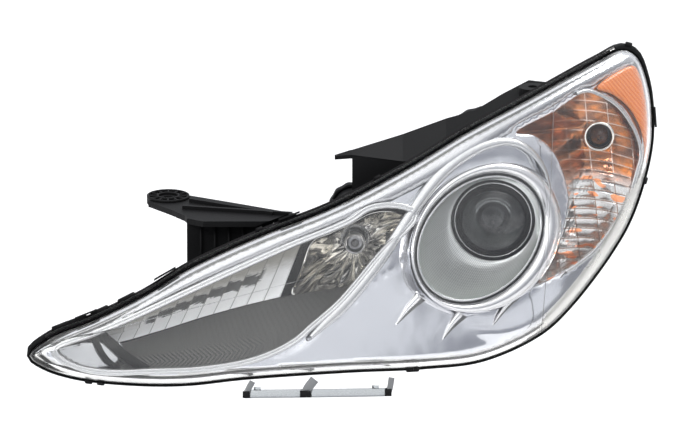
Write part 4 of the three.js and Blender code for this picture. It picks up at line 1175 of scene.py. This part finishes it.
def shielded_bulb():
    """The high beam's bulb shield: a bright cup with a rolled edge, and the ring round it."""
    cup = [(0, 143.6), (6.2, 143.6), (6.6, 139), (7.2, 137.3), (8.3, 136.8), (9, 137.8), (9, 146), (0, 146)]
    turned("bulb_shield_cup", rounded(cup, 0.4), HIGH_X, OPTICS_Z, STEEL, body=AIM, sides=64,
           nodes=["high_bulb_shield"])
    tip = [(0, 138.4), (2.4, 138.6), (3.4, 139.6), (3.4, 143.2), (0, 143.2)]
    turned("bulb_shield_tip", rounded(tip, 0.4), HIGH_X, OPTICS_Z, DARK, body=AIM, sides=40)
    collar = [(9.2, 158.5), (10.2, 156.6), (11.6, 156.2), (12.6, 157.4), (12.6, 160), (9.2, 160)]
    lathe("bulb_hole_collar", rounded(collar, 0.4, closed=True), HIGH_X, OPTICS_Z, SATIN, body=AIM, sides=64)
    for k, a in enumerate((0, 120, 240)):
        c, s = math.cos(math.radians(a)), math.sin(math.radians(a))
        verts = []
        for y in (140, 157):
            for side in (-0.7, 0.7):
                for radius in (8.6, 9.6):
                    verts.append(car(HIGH_X + radius * c - side * s, y, OPTICS_Z + radius * s + side * c))
        piece(f"bulb_shield_leg_{k + 1}", verts, CUBE_FACES, SATIN, body=AIM)


shielded_bulb()


def small_bulb(name, x, z, r, near, far, material, cad, body):
    profile = [(0, near), (r * 0.35, near + 0.25), (r * 0.62, near + r * 0.25), (r * 0.86, near + r * 0.6),
               (r, near + r), (r, far - r), (r * 0.86, far - r * 0.5), (r * 0.6, far), (0, far)]
    turned(name, profile, x, z, material, sides=48, body=body, nodes=[cad])


small_bulb("turn_bulb_amber", *TURN_AT, 8, 317, 343.6, AMBER_GLASS, "turn_bulb", "turn_socket_body")
small_bulb("marker_bulb_clear", *MARKER_AT, 4.5, 352, 375.6, BULB_GLASS, "marker_bulb", "marker_socket_body")

TURN_COLLAR = [(10.6, 323), (11.4, 321.2), (12.8, 321), (13.8, 322.4), (13.8, 326), (10.6, 326)]
lathe("turn_hole_collar", rounded(TURN_COLLAR, 0.4, closed=True), *TURN_AT, MIRROR, sides=64)


# ---------------------------------------------------------------- caps, sockets and vent cap at the back
def scallops(count, depth, outer):
    def shape(r, y, a):
        return r - (depth * (0.5 + 0.5 * np.cos(a * count)) if r > outer else 0) + 0 * a
    return shape


GRIP_SQUARENESS = 0.35  # 1 would be an ellipse, 0 a rectangle


def cap(name, x, r, far, grip_half, cad, body, count):
    lid = [(0, far + 2.8), (r - 8, far + 2.8), (r - 8, far - 6), (r - 5, far - 6), (r - 5, far + 2.8),
           (r + 1, far + 2.8),
           (r + 1, far - 5), (r + 3.6, far - 5), (r + 3.6, far + 4), (r, far + 7), (r * 0.72, far + 7),
           (r * 0.68, far + 5.6), (r * 0.3, far + 5.6), (r * 0.26, far + 7), (0, far + 7)]
    turned(name, rounded(lid, 0.7), x, OPTICS_Z, BLACK, body=body, sides=max(120, count * 6),
           scallop=scallops(count, 0.9, r + 2), nodes=[cad])
    half, near, tip = r * 0.7, far + 5.2, far + 14
    rings = []
    for y, shrink in ((near, 0.0), (near + 2, 0.3), (tip - 1.5, 0.9), (tip - 0.3, 1.3), (tip, 2.0)):
        ring = []
        w, g = half - shrink, grip_half - shrink * 0.6
        for a in np.linspace(0, 2 * np.pi, 40, endpoint=False):
            cx = abs(math.cos(a)) ** GRIP_SQUARENESS * math.copysign(w, math.cos(a))
            cz = abs(math.sin(a)) ** GRIP_SQUARENESS * math.copysign(g, math.sin(a))
            ring.append(car(x + cx, y, OPTICS_Z + cz))
        rings.append(ring)
    loft(f"{name}_grip", rings, BLACK, body=body)


def gasket(name, x, r, far, cad, body):
    lathe(name, rounded([(r - 2.8, far + 0.4), (r, far + 0.4), (r, far + 2.4), (r - 2.8, far + 2.4)], 0.6,
                        closed=True),
          x, OPTICS_Z, RUBBER, body=body, nodes=[cad])


cap("low_cap_lid", 0, LOW_NECK_R, LOW_NECK_END, 4.5, "low_cap", "low_cap_body", 24)
cap("high_cap_lid", HIGH_X, HIGH_NECK_R, HIGH_NECK_END, 3, "high_cap", "high_cap_body", 12)
gasket("low_cap_seal", 0, LOW_NECK_R, LOW_NECK_END, "low_cap_gasket", "low_cap_body")
gasket("high_cap_seal", HIGH_X, HIGH_NECK_R, HIGH_NECK_END, "high_cap_gasket", "high_cap_body")


def socket(name, x, z, r, near, far, cad, body):
    inner = r - 3.8
    core = [(0, near + 4), (inner - 1.5, near + 4), (inner, near + 8), (inner, far + 0.4), (r + 2, far + 0.4),
            (r + 2, far + 4), (r - 2, far + 5), (r - 2, far + 13.2), (r - 3, far + 14), (0, far + 14)]
    turned(name, rounded(core, 0.6), x, z, GREY, body=body, sides=80, scallop=scallops(16, 0.5, r + 1),
           nodes=[cad])
    verts = []
    for y in (far + 3, far + 10):
        for dz in (-2.5, 2.5):
            for dx in (-r, r):
                pinch = 0.7 if y > far + 5 else 0
                verts.append(car(x + dx - math.copysign(pinch, dx), y, z + dz * (1 - 0.2 * pinch)))
    piece(f"{name}_wings", verts, CUBE_FACES, GREY, body=body)


socket("turn_socket_turned", *TURN_AT, 15, 340, 392, "turn_socket", "turn_socket_body")
socket("marker_socket_turned", *MARKER_AT, 12, 372, 412, "marker_socket", "marker_socket_body")
VENT = [(0, 118), (3.4, 118), (3.4, 126.4), (10, 126.4), (10, 131), (7, 133), (3, 133), (2.6, 132.2),
        (0, 132.2)]
turned("vent_cap_soft", rounded(VENT, 0.7), *VENT_AT, RUBBER, sides=64, nodes=["vent_cap"])


# ---------------------------------------------------------------- arms, brackets and rim details
def arm_details():
    """The ring of pockets round the bolt hole of the inboard arm, and its web's ribs."""
    x0, y0, top = -281, 164, -22
    for r, w in ((17.6, 0.9), (9.2, 0.9)):
        a = np.linspace(0, 2 * np.pi, 96, endpoint=False)
        rings = [car(x0 + q * np.cos(a), y0 + q * np.sin(a), z) for q, z in
                 ((r - w, top - 0.3), (r - w, top + 1.8), (r - w * 0.5, top + 2.2), (r + w * 0.5, top + 2.2),
                  (r + w, top + 1.8), (r + w, top - 0.3))]
        loft(f"arm_boss_ring_{int(r)}", rings, BLACK, closed=True)
    for k in range(12):
        a = 2 * math.pi * k / 12
        c, s = math.cos(a), math.sin(a)
        verts = [car(x0 + r * c - t * s, y0 + r * s + t * c, z)
                 for z in (top - 0.3, top + 1.9) for t in (-0.7, 0.7) for r in (9.4, 17.4)]
        piece(f"arm_boss_spoke_{k + 1}", verts, CUBE_FACES, BLACK)
    for k, x in enumerate((-252, -240, -228, -216, -204)):
        verts = [car(x + dx, y, z) for dx in (-0.8, 0.8) for y in (95.6, 98.5) for z in (-80, -28)]
        piece(f"arm_web_rib_{k + 1}", verts, CUBE_FACES, BLACK)


arm_details()


def hanger():
    """The clear lower bracket: a rail on three leaning legs, with two small clips on it."""
    def bar(name, path, wide, deep, material, base=11.0):
        p = smooth(path, 26, False)
        w = wide / 2
        shape = [(-w, -deep / 2 + 0.5), (-w + 0.5, -deep / 2), (w - 0.5, -deep / 2), (w, -deep / 2 + 0.5),
                 (w, deep / 2 - 0.5), (w - 0.5, deep / 2), (-w + 0.5, deep / 2), (-w, deep / 2 - 0.5)]
        return ribbon(name, p, shape, material, closed=False, base=base)

    rail = bar("hanger_rail", [(-214, -144.2), (-170, -144), (-130, -143.8), (-88, -143.4)], 7.4, 5.6, TINTED)
    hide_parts("lower_bracket")
    for k, path in enumerate(([(-212.5, -146), (-211, -141), (-207, -133.5)],
                              [(-162, -146), (-160, -140), (-154, -132)],
                              [(-91, -145), (-89.5, -140), (-88, -131)])):
        bar(f"hanger_leg_{k + 1}", path, 5.2 if k != 1 else 8.0, 5.6, GREY)
        x, h = path[0]
        wide = 3.0 if k != 1 else 4.6
        block = [(-wide, -3.2), (wide, -3.2), (wide, 3.2), (-wide, 3.2)]
        ribbon(f"hanger_foot_{k + 1}", np.array([[x, h - 1.6], [x, h + 1], [x, h + 4.2]]), block, BLACK,
               closed=False, base=10.4)
    for k, (x, h) in enumerate(((-203, -139.9), (-102, -139.2))):
        tab = [(-3, -2), (-2.4, -2.4), (2.4, -2.4), (3, -2), (3, 2), (-3, 2)]
        ribbon(f"hanger_clip_{k + 1}", np.array([[x, h - 1.4], [x, h], [x, h + 1.6]]), tab, TINTED,
               closed=False, base=11)


hanger()


def lens_part_line():
    """The fine moulding line that runs down the outer lens between the projector and the turn signal."""
    line = smooth([(54, 108), (52, 60), (49, 0), (46, -50), (42, -93)], 60, False)
    ribbon("lens_part_line", line, [(-0.2, -0.12), (0.2, -0.12), (0.2, 0.4), (-0.2, 0.4)], DARK,
           closed=False, base=0.0, slot="clear_lens")


lens_part_line()


def rim_details():
    """The bright bead and the fine-toothed strip along the top edge."""
    n = normals(lens_line)
    upper = [i for i in range(len(lens_line)) if n[i][1] > 0.45 and -385 < lens_line[i][0] < 112]
    line = lens_line[upper]
    line = line[np.argsort(line[:, 0])]
    line = spaced(line, 300)
    if normals(line, False)[10][1] < 0:
        line = line[::-1]
    bead = [(-4.4, -0.6), (-3.9, -1.0), (-3.4, -0.6), (-3.4, 1.2), (-4.4, 1.2)]
    ribbon("rim_bright_bead", line, bead, SATIN, closed=False, base=13.6)

    fine = spaced(line, 760)
    comb = [(2.4, 0), (4.6, 0), (4.6, 1.9), (2.4, 1.9)]

    def tooth(share):
        lift = -1.1 if int(share * 760) % 4 < 2 else 0.0
        return [(x, y + (lift if y == 0 else 0)) for x, y in comb]

    ribbon("rim_toothed_strip", fine, tooth, FROSTED, closed=False, base=13.2, angle=20)


rim_details()


TAB_FRONT, TAB_BACK = 14.0, 21.0  # how far behind the skin a tab starts and ends


def tabs():
    """Small tabs that stand on the rim, the first four of them long."""
    spots = [(-352, -84), (-366, -91), (-336, -76), (-312, -63), (-200, -5), (-97, 40), (120, 158),
             (139, 40), (-344, -137), (-336, -138), (-74, -128), (-66, -128)]
    n = normals(lens_line)
    for k, spot in enumerate(spots):
        i = int(np.argmin(np.linalg.norm(lens_line - np.array(spot, float), axis=1)))
        p, q = lens_line[i], n[i]
        t = np.array([-q[1], q[0]])
        flare = RIM_OUT + RIM_FLARE * max(0.0, q[1])
        half_long = 8.0 if k < 4 else 3.2
        rings = []
        for out, half in ((flare - 2.6, half_long), (flare + 0.6, half_long), (flare + 1.3, half_long - 0.5),
                          (flare + 1.5, half_long - 1.2)):
            ring = []
            for a, b in ((-1, TAB_FRONT), (1, TAB_FRONT), (1, TAB_BACK), (-1, TAB_BACK)):
                c = p + q * out + t * half * a
                ring.append(on_skin(c[0], c[1], b))
            rings.append(ring)
        loft(f"rim_tab_{k + 1}", rings, BLACK)


tabs()

# ---------------------------------------------------------------- finishes of the CAD nodes that stay
KEPT = {
    "inboard_arm": BLACK, "upper_bracket": BLACK, "lens_clip_1": BLACK, "lens_clip_2": BLACK,
    "lens_clip_3": BLACK, "lens_clip_4": BLACK, "connector_shell": BLACK,
    "aim_gearbox": GREY, "aim_knob": GREY, "aim_carrier": GREY,
    "low_bulb": BULB_GLASS, "low_bulb_base": GREY, "high_bulb": BULB_GLASS, "high_bulb_base": GREY,
    "pivot_stud_inboard": STEEL, "pivot_stud_outboard": STEEL, "aim_rod": STEEL, "cutoff_shield": STEEL,
}
for name, finish in KEPT.items():
    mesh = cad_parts[name].data
    mesh.materials.clear()
    mesh.materials.append(finish)

# ---------------------------------------------------------------- stage, light and camera
bpy.context.scene.view_settings.view_transform = "Standard"
floor_mesh = bpy.data.meshes.new("studio_floor")
FLOOR_DROP, FLOOR_HALF = 0.3, 14.0  # metres; the drop keeps the floor clear of the lamp's shadow
FLOOR_Z = cad_box[0][2] - FLOOR_DROP
floor_mesh.from_pydata([(-FLOOR_HALF, -FLOOR_HALF, FLOOR_Z), (FLOOR_HALF, -FLOOR_HALF, FLOOR_Z),
                        (FLOOR_HALF, FLOOR_HALF, FLOOR_Z), (-FLOOR_HALF, FLOOR_HALF, FLOOR_Z)], [],
                        [(0, 1, 2, 3)])
floor = bpy.data.objects.new("studio_floor", floor_mesh)
bpy.context.scene.collection.objects.link(floor)
floor_mesh.materials.append(surface("studio_white", (0.93, 0.93, 0.93), 0.9, vary=0.005, bump=0.0))

SKY_STRENGTH = 1.15
world = bpy.data.worlds.new("studio")
bpy.context.scene.world = world
world.use_nodes = True
sky = world.node_tree
direction = node(sky, "ShaderNodeTexCoord").outputs["Generated"]


def facing(vector, near, far):
    """1 towards the direction, falling to 0 between the cosines near and far."""
    unit = Vector(vector).normalized()
    dot = node(sky, "ShaderNodeVectorMath", {0: direction, 1: tuple(unit)},
               operation="DOT_PRODUCT").outputs["Value"]
    return node(sky, "ShaderNodeMapRange", {0: dot, 1: far, 2: near},
                interpolation_type="SMOOTHSTEP").outputs[0]


tone = blend_colour(sky, facing((1.0, -0.05, -0.05), 0.975, 0.86), (0.7, 0.715, 0.75), (0.29, 0.3, 0.335))
tone = blend_colour(sky, facing((-0.2, -1.0, -0.15), 0.96, 0.8), tone, (0.12, 0.12, 0.13))
tone = blend_colour(sky, facing((0.1, -0.2, 1.0), 0.97, 0.62), tone, (1.75, 1.75, 1.75))
rays = node(sky, "ShaderNodeLightPath")
tone = blend_colour(sky, rays.outputs["Is Camera Ray"], tone, (1.0, 1.0, 1.0))
sky.nodes["Background"].inputs["Strength"].default_value = SKY_STRENGTH
sky.links.new(tone, sky.nodes["Background"].inputs["Color"])


def area_light(name, place_at, aim_at, size, power, colour=(1, 1, 1)):
    light = bpy.data.lights.new(name, "AREA")
    light.shape, light.size, light.energy, light.color = "DISK", size, power, colour
    obj = bpy.data.objects.new(name, light)
    obj.location = place_at
    obj.rotation_euler = (Vector(aim_at) - Vector(place_at)).to_track_quat("-Z", "Y").to_euler()
    bpy.context.scene.collection.objects.link(obj)


area_light("key_soft", (-1.2, -1.6, 1.9), (0.15, 0, 0), 1.0, 26)
area_light("rim_soft", (1.6, 1.2, 1.5), (0.2, 0, 0), 0.8, 14)

VIEW_X, VIEW_H, VIEW_DEPTH = -123.8, 9.03, 110.0
CAMERA_BACK = 10.0  # metres
SENSOR_WIDTH = 36  # millimetres
PICTURE_WIDTH = 0.602  # metres of the drawing plane across the picture
camera_data = bpy.data.cameras.new("camera")
camera_data.sensor_width = SENSOR_WIDTH
camera_data.lens = SENSOR_WIDTH * CAMERA_BACK / PICTURE_WIDTH
camera_data.clip_end = 60
camera = bpy.data.objects.new("camera", camera_data)
look = Vector((0, LEAN_COS, -LEAN_SIN))
centre = Vector(place(VIEW_X, VIEW_DEPTH, VIEW_H))
camera.location = centre - look * CAMERA_BACK
camera.rotation_euler = look.to_track_quat("-Z", "Y").to_euler()
bpy.context.scene.collection.objects.link(camera)
bpy.context.scene.camera = camera
